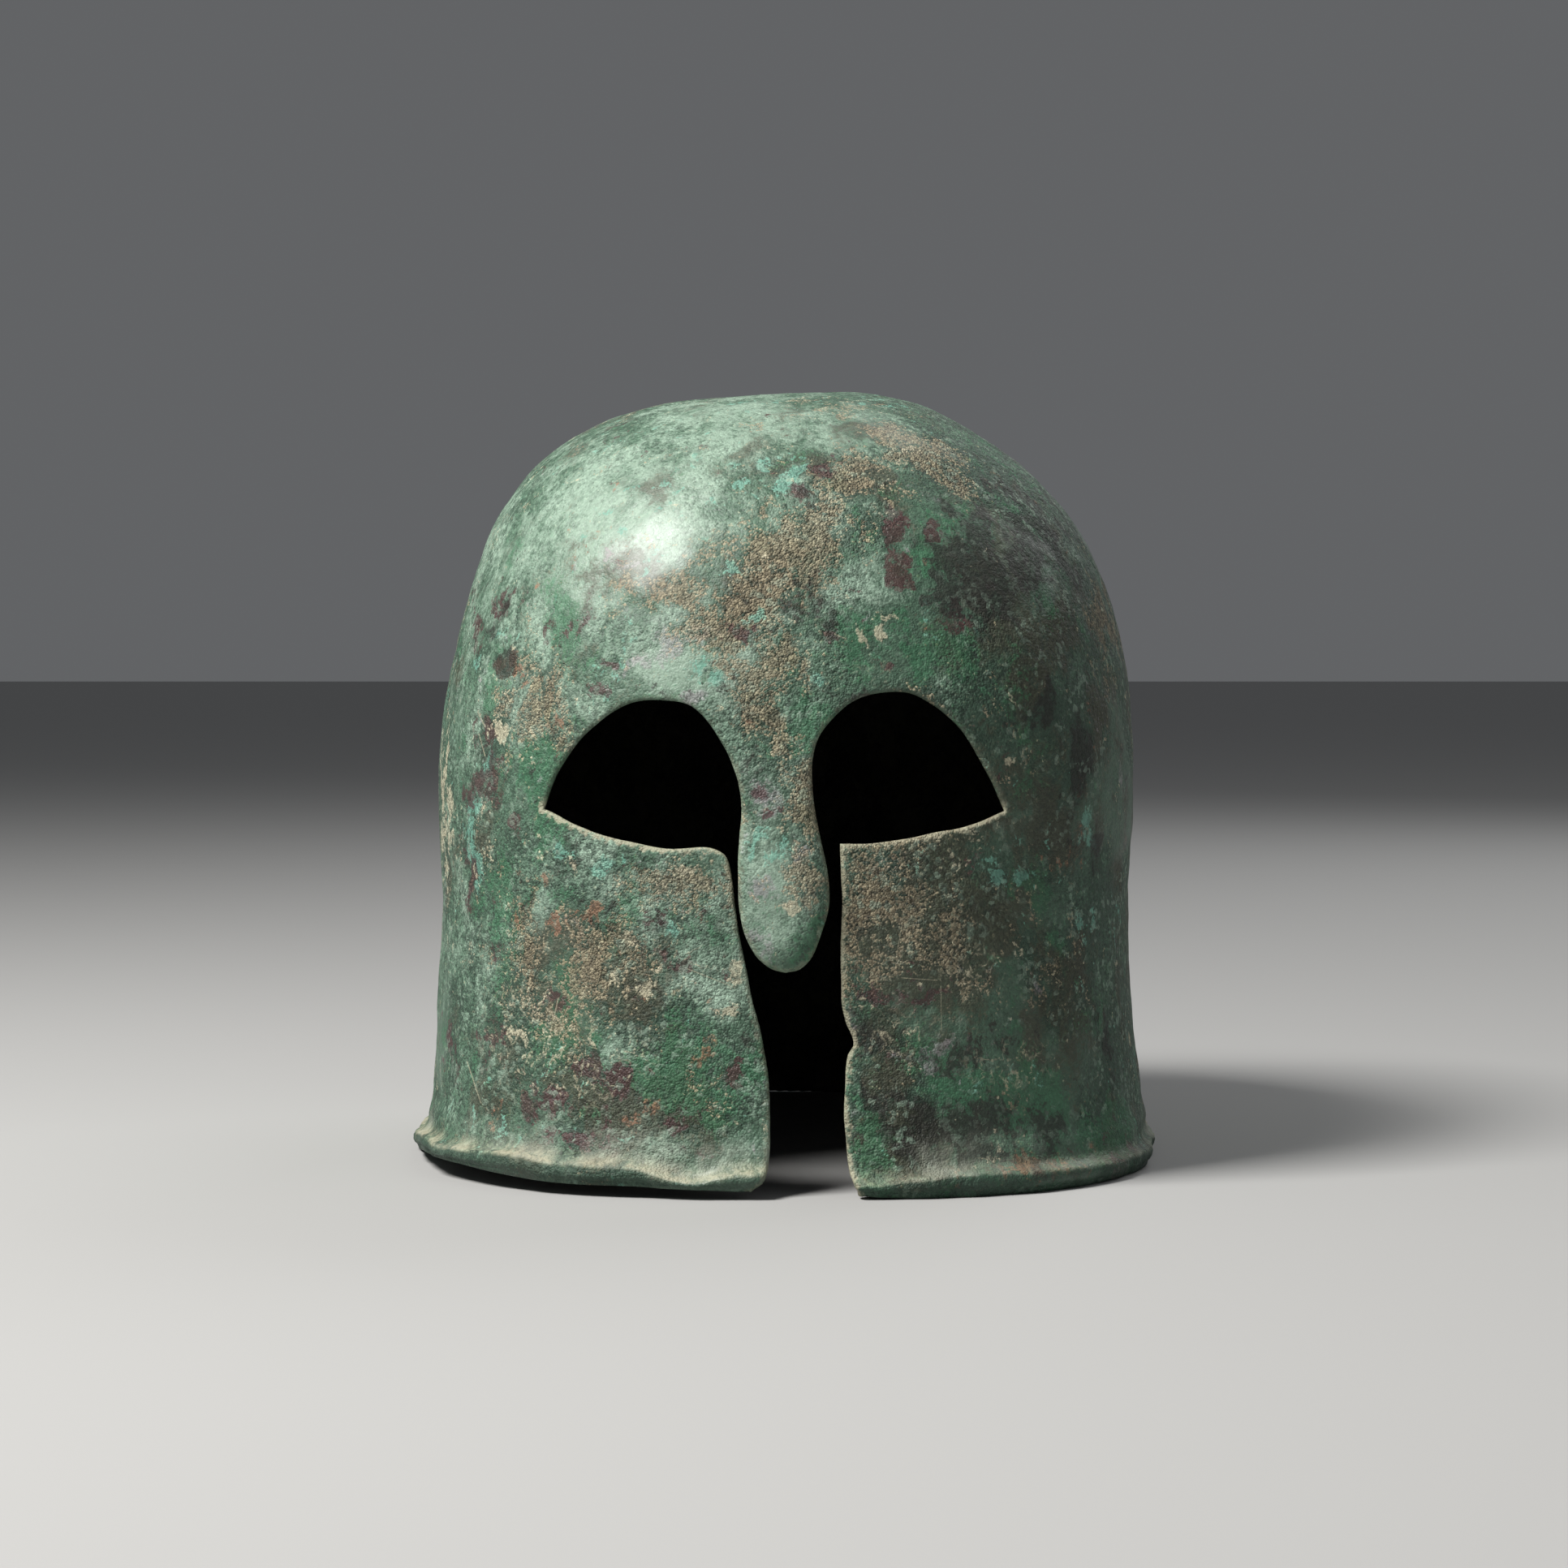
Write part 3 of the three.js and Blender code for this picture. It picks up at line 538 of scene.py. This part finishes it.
def wandered(start, points, waves, steps):
    """The start, moved sideways by smooth noise read at the points."""
    moved = start.copy()
    for size, reach, seed in waves:
        offset = seed_place(seed, steps)
        moved += reach * np.array([noise.noise_vector(Vector(p) / size + offset) for p in points])
    return moved


def pits_at(points):
    """Depth of the shallow pits, at most one to a cell and only in some cells."""
    depth = np.zeros(len(points))
    for k, point in enumerate(points):
        gaps, places = noise.voronoi(Vector(point) / PIT_CELL)
        if noise.cell(places[0] * PIT_SHUFFLE) > PIT_ABOVE:
            part = gaps[0] * PIT_CELL / PIT_RADIUS
            if part < 1.0:
                depth[k] = (1 - part * part) ** 2
    return PIT_DEPTH * depth


def lip_wander(angle, z):
    """The rolled lip is lumpy: how far it is drawn in, and how far it rises."""
    ring = np.stack([np.cos(angle), np.sin(angle), np.zeros(len(angle))], axis=1) * LIP_RADIUS
    low = 1 - smoothstep(z, *LIP_FADE)
    near = np.nonzero(low > 0)[0]
    drawn, rise = np.zeros(len(z)), np.zeros(len(z))
    long_wave, short_wave = (noise_at(ring[near], *wave) for wave in LIP_WAVES)
    ledge = smoothstep(z[near], *WAVES_FROM)
    drawn[near] = low[near] * LIP_DRAWN_IN * np.clip(DRAWN_MEAN + long_wave + DRAWN_SHORT * short_wave, 0, DRAWN_MOST)
    foot = (1 - ledge) * LIP_FOOT_RISE * np.clip(long_wave + FOOT_MEAN, 0, 1)
    bend = sum(height * np.exp(-((ring[near, 0] - middle) / half) ** 2) for middle, half, height in LIP_BENDS)
    bend = np.where(ring[near, 1] < 0, bend, 0.0) * smoothstep(z[near], *BENDS_FROM)
    wave = LEDGE_LONG * long_wave + LEDGE_SHORT * short_wave
    rise[near] = low[near] * (ledge * LIP_LEDGE_WAVE * wave + foot + bend)
    return drawn, rise


def placed(rows, points):
    """Strength, from 0 up, of the stains in a table at each point of the front."""
    x, z = points[:, 0], points[:, 2]
    total = np.zeros(len(points))
    for middle_x, middle_z, wide, high, strength, *turn in rows:
        turned = math.radians(sum(turn))
        c, s = math.cos(turned), math.sin(turned)
        u = ((x - middle_x) * c + (z - middle_z) * s) / wide
        v = ((z - middle_z) * c - (x - middle_x) * s) / high
        total = np.maximum(total, strength * np.exp(-STAIN_EDGE * (u * u + v * v)))
    return total * smoothstep(-points[:, 1], *FRONT_FADE)


def skins_at(angle, place, edge_points):
    """Outer and inner points for the places of a skin, the distance from the edge, and the height."""
    points, z, inset = plain_skin(angle, place)
    turn, _, normal = skin_slopes(angle, place)
    away = edge_distance(points, edge_points)
    points = points + normal * (dents_at(points) + HAMMER_HEIGHT * noise_at(points, *HAMMER))[:, None]
    level = unit(np.cross(turn, (0.0, 0.0, 1.0)))
    inward = np.where((z < FLARE_TOP)[:, None], level, normal)

    # The sheet thickens to the nasal, which swells from its own edge.
    proud, thick, half = np.moveaxis(NASAL_AT(np.clip(z, NASAL[0, 0], NASAL[-1, 0])), -1, 0)
    side = np.abs(points[:, 0] - NASAL_AXIS)
    narrow = side < NASAL_HALF
    nasal = (points[:, 1] < NASAL_FRONT) & (side < NASAL_REACH) & (z > NASAL[0, 0]) & (narrow | (z > NASAL_FREE))
    free = 1 - smoothstep(z, *NASAL_JOINS)
    swell = np.where(nasal, np.maximum(free * narrow, 1 - smoothstep(side, *BRIDGE_SIDE)), 0.0)
    swell *= 1 - smoothstep(z, *BRIDGE_TOP)
    swell = np.where(on_cheek(points) & (z < CHEEK_TOP), 0.0, swell)

    outer = points + normal * (swell * proud)[:, None]
    inner = points - inward * (inset * (1 - swell))[:, None] - normal * (swell * (thick - proud))[:, None]
    def rounded(reach, power=0.5):
        """From 0 at the edge to 1 at the reach."""
        return (1 - (1 - np.clip(away / reach, 0, 1)) ** 2) ** power

    middle = (outer + inner) / 2
    part = swell * (1 - smoothstep(z, *LENS_TOP))
    lens = rounded(half, NASAL_LENS) * part
    outer = middle + (outer - middle) * (rounded(OUTER_ROUND) * (1 - part) + lens)[:, None]
    inner = middle + (inner - middle) * (rounded(INNER_ROUND) * (1 - part) + lens)[:, None]
    return outer, inner, normal, away, z


def worn(points, normal, angle, z, away, crusted, outside):
    """The points with the lumps, crust, pits and lumpy lip of the old metal."""
    height = np.zeros(len(points))
    if outside:
        height += LUMPS_HEIGHT * noise_at(points, *LUMPS)
        height += CRUST_HEIGHT * crusted * np.clip(noise_at(points, *CRUST) + CRUST_MORE, 0, 1)
        height -= pits_at(points)
        height *= smoothstep(away, *RELIEF_EDGE)
        for middle, reach, rise in LIP_SHAPE:
            height += rise * np.exp(-((z - middle) / reach) ** 2)
    drawn, rise = lip_wander(angle, z)
    outward = unit(points * (1, 1, 0) - (0, AXIS_Y, 0))
    wander = wandered(np.zeros_like(points), points, WANDERS, WANDER_STEPS)
    moved = points + normal * height[:, None] + wander - outward * drawn[:, None]
    moved[:, 2] = np.maximum(moved[:, 2] + rise, 0.0)
    underside = z < UNDERSIDE
    moved[underside, 2] = points[underside, 2] + rise[underside]
    return moved


def fit_inside(points, low, high):
    """The points, drawn in evenly where they stand out of the box."""
    middle, half = (low + high) / 2, (high - low) / 2 - FIT_MARGIN
    reach = np.abs(points[:, :2] - middle[:2]).max(axis=0)
    points[:, :2] = middle[:2] + (points[:, :2] - middle[:2]) * np.minimum(1.0, half[:2] / reach)
    points[:, 2] -= points[:, 2].min()
    points[:, 2] *= min(1.0, (high[2] - FIT_MARGIN) / points[:, 2].max())
    return points


def on_cheek(points):
    """Which of the points below the eyes are on the cheeks, and not on the nasal."""
    x, z = points[:, 0], points[:, 2]
    return (x < np.interp(z, *GAP_LEFT)) | (x > np.interp(z, *GAP_RIGHT)) | (z < GAP_LEFT[0][0])


def worn_and_lit_at(points):
    """How pale the opening's edge is worn, with a painted highlight: most on the lids and cheeks, which face the
    light from above, least under the brows, which are in shade.
    """
    x, z = points[:, 0], points[:, 2]
    lid = LID_HIGH - LID_SLOPE * (LID_REACH - np.abs(x))
    start, end = LID_WORN_Z
    beyond = BROW_WORN + LID_WORN_AND_LIT * (1 - smoothstep(z, lid + start, lid + end))
    return np.where(np.abs(x - NASAL_AXIS) < NASAL_WORN_X, NASAL_WORN, beyond)


def outer_marks(outer, z):
    """The numbers that the material reads at each point of the outer skin, and how sandy the point is."""
    ragged = wandered(outer, outer, STAIN_WANDERS, STAIN_STEPS)  # round stains get ragged outlines
    marks = {kind: placed(rows, ragged) for kind, rows in STAINS.items()}
    front = smoothstep(-outer[:, 1], *FRONT_FADE)
    crusted = np.clip(marks["tan"], 0, 1) * front + BACK_CRUST * (1 - front)
    height = z + LEDGE_RAGGED * (ragged[:, 2] - outer[:, 2])
    start, full, end = LEDGE
    below, above = smoothstep(height, start, full), 1 - smoothstep(height, full, end)
    marks["ledge"] = below * above * (1 - LEDGE_LESS * smoothstep(outer[:, 0], *LEDGE_LESS_X) * front)
    # Below the ledge the lip is painted darker: partly painted shade on its face that turns down and out, partly
    # darker patina.
    marks["under"] = 1 - below
    marks["worn_and_lit"] = worn_and_lit_at(outer)
    for kind, less in CALM.items():
        marks[kind] -= less * (front + BACK_CALM * (1 - front))
    # Painted shade: the front's right side, away from the light, is made less pale.
    marks["pale"] -= RIGHT_PAINTED_SHADE * front * smoothstep(outer[:, 0], *RIGHT_X)
    marks["smooth"] = placed(SMOOTH, outer)
    marks["lace"] = placed(LACE, outer) + BACK_LACE * (1 - front)
    return marks, crusted


def build_shell():
    """The whole helmet as one closed mesh: both skins share the points of the edge and of the rim."""
    edge = opening_edge()
    edge_points = plain_skin(*edge.T)[0]
    rim = rim_ring(edge)
    shared = len(edge) + len(rim)
    outer_places, outer_faces = mesh_skin(OUTER_SPACING, LIP_LEVELS, edge, edge_points, rim)
    inner_places, inner_faces = mesh_skin(INNER_SPACING, INNER_LIP_LEVELS, edge, edge_points, rim)
    outer, _, normal, away, z = skins_at(*outer_places.T, edge_points)
    _, inner, inner_normal, inner_away, inner_z = skins_at(*inner_places.T, edge_points)

    marks, crusted = outer_marks(outer, z)
    outer = worn(outer, normal, outer_places[:, 0], z, away, crusted, True)
    inner = worn(inner, inner_normal, inner_places[:, 0], inner_z, inner_away, None, False)
    marks["away"] = np.concatenate([away, inner_away[shared:]])
    marks["inside"] = np.concatenate([np.zeros(len(outer)), np.ones(len(inner) - shared)])

    points = np.vstack([outer, inner[shared:]])
    numbers = np.arange(len(inner_places)) - shared + len(outer)
    numbers[:shared] = np.arange(shared)
    faces = np.vstack([outer_faces, numbers[inner_faces][:, ::-1]])
    low, high = (np.array(corner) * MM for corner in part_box(SHELL))
    mesh = bpy.data.meshes.new("helmet")
    mesh.from_pydata((fit_inside(points, low, high) / MM).tolist(), [], faces.tolist())
    mesh.validate()
    mesh.shade_smooth()
    for name, values in marks.items():
        layer = mesh.attributes.new(name, "FLOAT", "POINT")
        whole = np.zeros(len(points), np.float32)
        whole[:len(values)] = values
        layer.data.foreach_set("value", whole)
    return add_object("helmet", mesh)


# ---- the patina's material
def tone(red, green, blue):
    """A colour from its usual 0 to 255 numbers, as light."""
    return tuple((c / 255 / 12.92) if c < 11 else ((c / 255 + 0.055) / 1.055) ** 2.4 for c in (red, green, blue))


COLORS = {
    "mid": tone(74, 104, 84), "pale": tone(140, 164, 146), "deep": tone(38, 61, 48), "green": tone(50, 104, 72),
    "tan": tone(158, 146, 120), "brown": tone(98, 88, 70), "umber": tone(62, 58, 43), "cream": tone(184, 178, 152),
    "plum": tone(68, 40, 42), "lilac": tone(152, 144, 150), "turquoise": tone(106, 160, 142),
    "rust": tone(136, 94, 72), "dark": tone(30, 32, 26), "ash": tone(158, 164, 150), "inner": tone(58, 58, 48),
    "inner_low": tone(36, 38, 32),
}


class Graph:
    """A material's nodes, made by short calls. Any value may be a number or another node's output."""

    def __init__(self, name):
        self.material = bpy.data.materials.new(name)
        self.material.use_nodes = True
        self.tree = self.material.node_tree
        self.shader = self.tree.nodes["Principled BSDF"]
        self.seed = 0

    def put(self, socket, value):
        if isinstance(value, bpy.types.NodeSocket):
            self.tree.links.new(value, socket)
        elif isinstance(value, tuple) and socket.type == "RGBA":
            socket.default_value = (*value, 1.0)
        else:
            socket.default_value = value

    def node(self, kind, values, **settings):
        node = self.tree.nodes.new("ShaderNode" + kind)
        for name, value in settings.items():
            setattr(node, name, value)
        for name, value in values.items():
            self.put(node.inputs[name], value)
        return node

    def math(self, operation, *values, clamp=False):
        return self.node("Math", dict(enumerate(values)), operation=operation, use_clamp=clamp).outputs[0]

    def fold(self, operation, values):
        total = values[0]
        for value in values[1:]:
            total = self.math(operation, total, value)
        return total

    def sum(self, *terms):
        return self.fold("ADD", terms)

    def times(self, *factors):
        return self.fold("MULTIPLY", factors)

    def rest(self, value):
        """What is left of 1."""
        return self.math("SUBTRACT", 1.0, value)

    def swing(self, value, reach):
        """A value of about 0.5 as one that swings about 0."""
        return self.times(self.math("SUBTRACT", value, 0.5), reach)

    def vector(self, operation, *values, scale=None):
        values = dict(enumerate(values))
        if scale is not None:
            values["Scale"] = scale
        made = self.node("VectorMath", values, operation=operation)
        return made.outputs["Value" if operation in ("DOT_PRODUCT", "DISTANCE") else "Vector"]

    def mark(self, name):
        return self.node("Attribute", {}, attribute_name=name).outputs["Fac"]

    def noise(self, vector, size, detail, rough, color=False):
        """Noise with forms of the given size in millimetres, different at each call."""
        self.seed += 1
        shift = (self.seed * 13.7, -self.seed * 8.3, self.seed * 21.1)
        made = self.node("TexNoise", {"Vector": self.vector("ADD", vector, shift),
                                                "Scale": 1.0 / size, "Detail": detail, "Roughness": rough})
        return made.outputs["Color" if color else "Fac"]

    def cells(self, vector, size):
        """Grains of the given size: a random number for each, and the distance from its middle."""
        made = self.node("TexVoronoi", {"Vector": vector, "Scale": 1.0 / size})
        return self.node("SeparateColor", {0: made.outputs["Color"]}).outputs, made.outputs["Distance"]

    def step(self, value, low, high):
        """0 below low, 1 above high, smooth between."""
        made = self.node("MapRange", {"Value": value, "From Min": low, "From Max": high},
                         interpolation_type="SMOOTHSTEP")
        return made.outputs["Result"]

    def mix(self, part, a, b):
        made = self.node("Mix", {}, data_type="RGBA")
        for socket, value in ((made.inputs["Factor"], part), (made.inputs[6], a), (made.inputs[7], b)):
            self.put(socket, value)
        return made.outputs[2]

    def paint(self, color, name, *parts):
        """The colour, under a named one that covers the product of the parts."""
        return self.mix(self.times(*parts), color, COLORS[name])


# Each kind of stain: size of its forms, roughness of its outline, cover (a higher number covers less),
# softness of its edge, and how much it changes from one region to another.
KINDS = {
    "umber": (15, 0.6, 0.585, 0.07, 0.8),
    "green": (11, 0.58, 0.585, 0.05, 0.7),
    "tan": (9, 0.6, 0.59, 0.1, 0.9),
    "lilac": (9, 0.6, 0.61, 0.06, 0.6),
    "turquoise": (6, 0.58, 0.62, 0.03, 0.7),
    "rust": (5, 0.6, 0.625, 0.045, 0.9),
    "plum": (7, 0.58, 0.645, 0.034, 0.8),
    "dark": (8, 0.62, 0.6, 0.04, 0.9),
    "cream": (5.5, 0.6, 0.62, 0.035, 0.7),
}
KIND_DETAIL = 5.0
MARK_GAIN = 0.34  # how strongly a placed stain raises its kind's noise
REGION_GAIN = 0.6
# How much each hides, from the lowest layer up. Plum hides more on light blotches.
HIDES = {"umber": 0.72, "green": 0.66, "lilac": 0.55, "tan": 0.74, "turquoise": 0.70, "rust": 0.66,
         "plum": 0.60, "dark": 0.84, "cream": 0.72}
PLUM_BY_BLOTCH = 0.50

# Noises: size of the forms in millimetres, detail, roughness.
DRIFT, DRIFT_REACH = (10.0, 2.0, 0.55), 13.0  # bends the larger forms
SHAKE, SHAKE_REACH = (1.6, 2.0, 0.60), 0.9  # and the grains
BROAD, CLOUD, BLOTCH, MOTTLE = (30.0, 4.0, 0.56), (17.0, 5.0, 0.56), (9.5, 5.0, 0.56), (2.0, 3.0, 0.60)
REGION, POLISH, NET = (55.0, 1.0, 0.50), (48.0, 2.0, 0.55), (7.0, 3.0, 0.60)
TALL = (1.0, 1.0, 0.72)  # the larger forms are drawn out upward
GRIT, CRUMB = 0.62, 1.5  # sizes of the grains

# Fine pale scratches on the front: the two ends (x, z) of each, and its half width.
SCRATCHES = (
    (-61, 52, -63.3, 42.4, 0.16), (-47.8, 71, -36.9, 66, 0.14), (-25.8, 61, -13, 56, 0.14),
    (-2, 173.5, -0.6, 177, 0.22), (13.4, 150.2, 16.5, 149, 0.22), (-85, 129, -82.5, 125, 0.2),
    (-84.5, 123, -82.5, 117, 0.18), (-88, 32, -83.5, 21.5, 0.2), (31.4, 58.5, 41, 57.6, 0.12),
    (42, 56, 42.2, 44, 0.1), (30, 64, 32, 76, 0.14),
)


def scratch_gap(g, flat):
    """How far the nearest scratch is, seen from the front and in its half widths."""
    seen = g.vector("MULTIPLY", flat, (1.0, 0.0, 1.0))
    gaps = []
    for x, z, to_x, to_z, half in SCRATCHES:
        along = Vector((to_x - x, 0, to_z - z))
        way = g.vector("SUBTRACT", seen, (x, 0, z))
        part = g.vector("DOT_PRODUCT", way, tuple(along / along.length_squared))
        foot = g.vector("SCALE", tuple(along), scale=g.math("ADD", part, 0.0, clamp=True))
        gaps.append(g.math("DIVIDE", g.vector("DISTANCE", way, foot), half))
    return g.fold("MINIMUM", gaps)


def patina_material():
    g = Graph("patina")
    flat = g.vector("SCALE", g.node("TexCoord", {}).outputs["Object"], scale=MM)
    bent = g.vector("MULTIPLY_ADD", g.noise(flat, *DRIFT, color=True), (DRIFT_REACH,) * 3, flat)
    tall = g.vector("MULTIPLY", bent, TALL)

    broad, blotch, cloud = (g.noise(tall, *forms) for forms in (BROAD, BLOTCH, CLOUD))
    mottle = g.noise(flat, *MOTTLE)
    shaken = g.vector("MULTIPLY_ADD", g.noise(flat, *SHAKE, color=True), (SHAKE_REACH,) * 3, flat)
    (grit, other_grit, _), grit_rise = g.cells(shaken, GRIT)
    (crumb, other_crumb, _), crumb_rise = g.cells(shaken, CRUMB)
    grit = g.sum(g.times(grit, 0.6), g.times(other_grit, 0.4))
    regions = g.node("SeparateColor", {0: g.noise(flat, *REGION, color=True)}).outputs
    crumble = g.sum(g.swing(mottle, 0.26), g.swing(grit, 0.13), g.swing(crumb, 0.05))
    smooth = g.math("MAXIMUM", g.mark("smooth"), g.times(g.step(g.noise(flat, *POLISH), 0.52, 0.62), 0.7))
    coarse = g.rest(g.times(smooth, 0.85))

    # The masks of the stains, with crumbling edges.
    masks = {}
    for number, (kind, (size, rough, cover, soft, by_region)) in enumerate(KINDS.items()):
        field = g.noise(tall, size, KIND_DETAIL, rough)
        shift = g.swing(regions[number % 3], by_region * (-1 if number % 2 else 1) * REGION_GAIN)
        field = g.sum(field, g.times(g.mark(kind), MARK_GAIN), shift, crumble)
        masks[kind] = g.step(field, cover - soft, cover + soft)

    # Base: green and pale verdigris.
    outside = g.rest(g.mark("inside"))
    light = g.sum(g.times(broad, 0.4), g.times(blotch, 0.45), g.times(mottle, 0.15), g.times(crumble, 0.35),
                  g.times(g.mark("pale"), 0.17))
    color = g.mix(g.step(light, 0.4, 0.64), COLORS["mid"], COLORS["pale"])
    light = g.sum(g.times(mottle, 0.15), g.times(cloud, 0.85), crumble, g.times(g.mark("pale"), 0.12))
    color = g.paint(color, "deep", g.step(g.rest(light), 0.46, 0.64), g.times(coarse, 0.72))

    # The stains. Tan is a sandy crust.
    sandy = g.step(g.sum(g.times(grit, 0.6), g.times(mottle, 0.6)), 0.34, 0.86)
    tints = dict(COLORS, tan=g.mix(sandy, COLORS["brown"], COLORS["tan"]))
    covers = dict(masks, tan=g.step(g.sum(masks["tan"], g.swing(grit, 0.9)), 0.3, 0.8))
    hides = dict(HIDES, plum=g.sum(HIDES["plum"], g.times(blotch, PLUM_BY_BLOTCH)))
    for kind in HIDES:
        color = g.mix(g.times(covers[kind], hides[kind]), color, tints[kind])

    # Grains: light and dark ones all over, and nets of pale lines in places.
    flecks = g.step(g.sum(crumb, g.swing(blotch, 1.6)), 0.8, 1.0)
    color = g.paint(color, "pale", flecks, coarse, 0.42)
    specks = g.step(g.sum(other_crumb, g.swing(cloud, 1.6)), 0.8, 1.0)
    color = g.paint(color, "deep", specks, coarse, 0.5)
    lines = g.step(g.math("ABSOLUTE", g.math("SUBTRACT", g.noise(bent, *NET), 0.5)), 0.030, 0.006)
    color = g.paint(color, "cream", lines, g.step(g.mark("lace"), 0.15, 0.7), g.step(mottle, 0.4, 0.62), 0.68)
    contrast = g.swing(grit, g.sum(0.3, g.times(coarse, 0.62)))
    color = g.vector("SCALE", color, scale=g.sum(0.79, contrast, g.times(mottle, 0.34)))

    # The lip is dark below, partly painted shade and partly darker patina, hazy above, and cream on its ledge, a
    # crust with a painted highlight.
    rising = g.sum(g.node("SeparateXYZ", {0: flat}).outputs["Z"], g.times(crumble, -9.0))
    under = g.step(g.sum(g.mark("under"), crumble), 0.35, 0.75)
    color = g.paint(color, "deep", under, g.sum(0.36, g.times(cloud, 0.5)))
    haze = g.times(g.rest(g.step(rising, 9.0, 20.0)), g.times(g.rest(under), outside))
    color = g.paint(color, "ash", haze, g.step(broad, 0.44, 0.64), 0.55)
    color = g.paint(color, "cream", g.mark("ledge"), g.step(g.sum(blotch, crumble), 0.3, 0.62), 0.74)

    # Worn edges, with a painted highlight on the lids and cheeks, and scratches are pale, and the inside is dark.
    ragged = g.sum(g.mark("away"), g.swing(mottle, 6.0))
    color = g.paint(color, "cream", g.rest(g.step(ragged, 0.3, 1.6)), g.mark("worn_and_lit"), 0.62)
    scratched = g.rest(g.step(g.sum(scratch_gap(g, flat), g.times(mottle, 1.5)), 0.9, 2.2))
    at_front = g.step(g.node("SeparateXYZ", {0: flat}).outputs["Y"], -20.0, -40.0)
    color = g.paint(color, "cream", scratched, at_front, 0.5)
    inner = g.mix(g.step(blotch, 0.4, 0.6), COLORS["inner_low"], COLORS["inner"])
    g.put(g.shader.inputs["Base Color"], g.mix(g.mark("inside"), color, inner))

    # Gloss.
    rough = g.sum(0.68, g.times(smooth, -0.16), g.times(masks["tan"], 0.14), g.times(masks["plum"], -0.12),
                  g.swing(mottle, 0.5))
    g.put(g.shader.inputs["Roughness"], g.math("MINIMUM", g.math("MAXIMUM", rough, 0.3), 0.95))
    g.put(g.shader.inputs["Coat Weight"], g.times(smooth, outside, 0.26))
    g.shader.inputs["Coat Roughness"].default_value = 0.26

    # Bump, in millimetres.
    sand = g.sum(0.5, masks["tan"])
    height = g.sum(g.times(grit_rise, sand, -0.55), g.times(crumb_rise, sand, -0.36), g.times(mottle, 0.85), blotch,
                   g.times(masks["plum"], -0.12), g.times(specks, -0.12), g.times(masks["cream"], 0.08))
    height = g.times(height, g.rest(g.times(smooth, 0.68)))
    bump = g.node("Bump", {"Height": height, "Distance": 1 / MM, "Strength": 1.0})
    g.put(g.shader.inputs["Normal"], bump.outputs[0])
    return g.material


# ---- studio
def add_object(name, data):
    made = bpy.data.objects.new(name, data)
    bpy.context.scene.collection.objects.link(made)
    return made


def add_camera():
    data = bpy.data.cameras.new("camera")
    data.lens = CAMERA_LENS
    data.sensor_width = CAMERA_SENSOR
    camera = add_object("camera", data)
    camera.location = (0.0, AXIS_Y / MM - CAMERA_AWAY, CAMERA_HEIGHT)
    camera.rotation_euler = (math.radians(90.0 - CAMERA_DOWN), 0.0, 0.0)
    bpy.context.scene.camera = camera


def add_light(name, azimuth, elevation, away, size, power, color=(1.0, 1.0, 1.0)):
    """A square lamp that looks at the helmet's middle. Azimuth 0 is in front and 90 on the right."""
    data = bpy.data.lights.new(name, "AREA")
    data.shape = "SQUARE"
    data.size = size
    data.energy = power
    data.color = color
    a, e = math.radians(azimuth), math.radians(elevation)
    aim = Vector((math.sin(a) * math.cos(e), -math.cos(a) * math.cos(e), math.sin(e)))
    lamp = add_object(name, data)
    lamp.location = Vector((0.0, 0.0, HEIGHT / 2 / MM)) + aim * away
    lamp.rotation_euler = aim.to_track_quat("Z", "Y").to_euler()


def add_floor():
    g = Graph("floor")
    g.shader.inputs["Base Color"].default_value = FLOOR_COLOR
    g.shader.inputs["Roughness"].default_value = FLOOR_ROUGHNESS
    mesh = bpy.data.meshes.new("floor")
    corners = [(x * FLOOR_HALF, y * FLOOR_HALF, 0) for x, y in ((-1, -1), (1, -1), (1, 1), (-1, 1))]
    mesh.from_pydata(corners, [], [(0, 1, 2, 3)])
    mesh.materials.append(g.material)
    add_object("floor", mesh)


def add_world():
    world = bpy.data.worlds.new("studio")
    world.use_nodes = True
    background = world.node_tree.nodes["Background"]
    background.inputs["Color"].default_value = WORLD_COLOR
    background.inputs["Strength"].default_value = WORLD_STRENGTH
    bpy.context.scene.world = world
    bpy.context.scene.view_settings.view_transform = "Standard"


# ---- scene
add_camera()
helmet = build_shell()
helmet.data.materials.append(patina_material())
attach(helmet, "root")
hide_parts(SHELL)
add_floor()
add_world()
add_light("key", azimuth=-54, elevation=50, away=1.6, size=0.55, power=43, color=(1.0, 0.98, 0.95))
add_light("fill", azimuth=60, elevation=25, away=2.2, size=1.4, power=2.2)
add_light("back", azimuth=142, elevation=38, away=2.2, size=1.4, power=13)
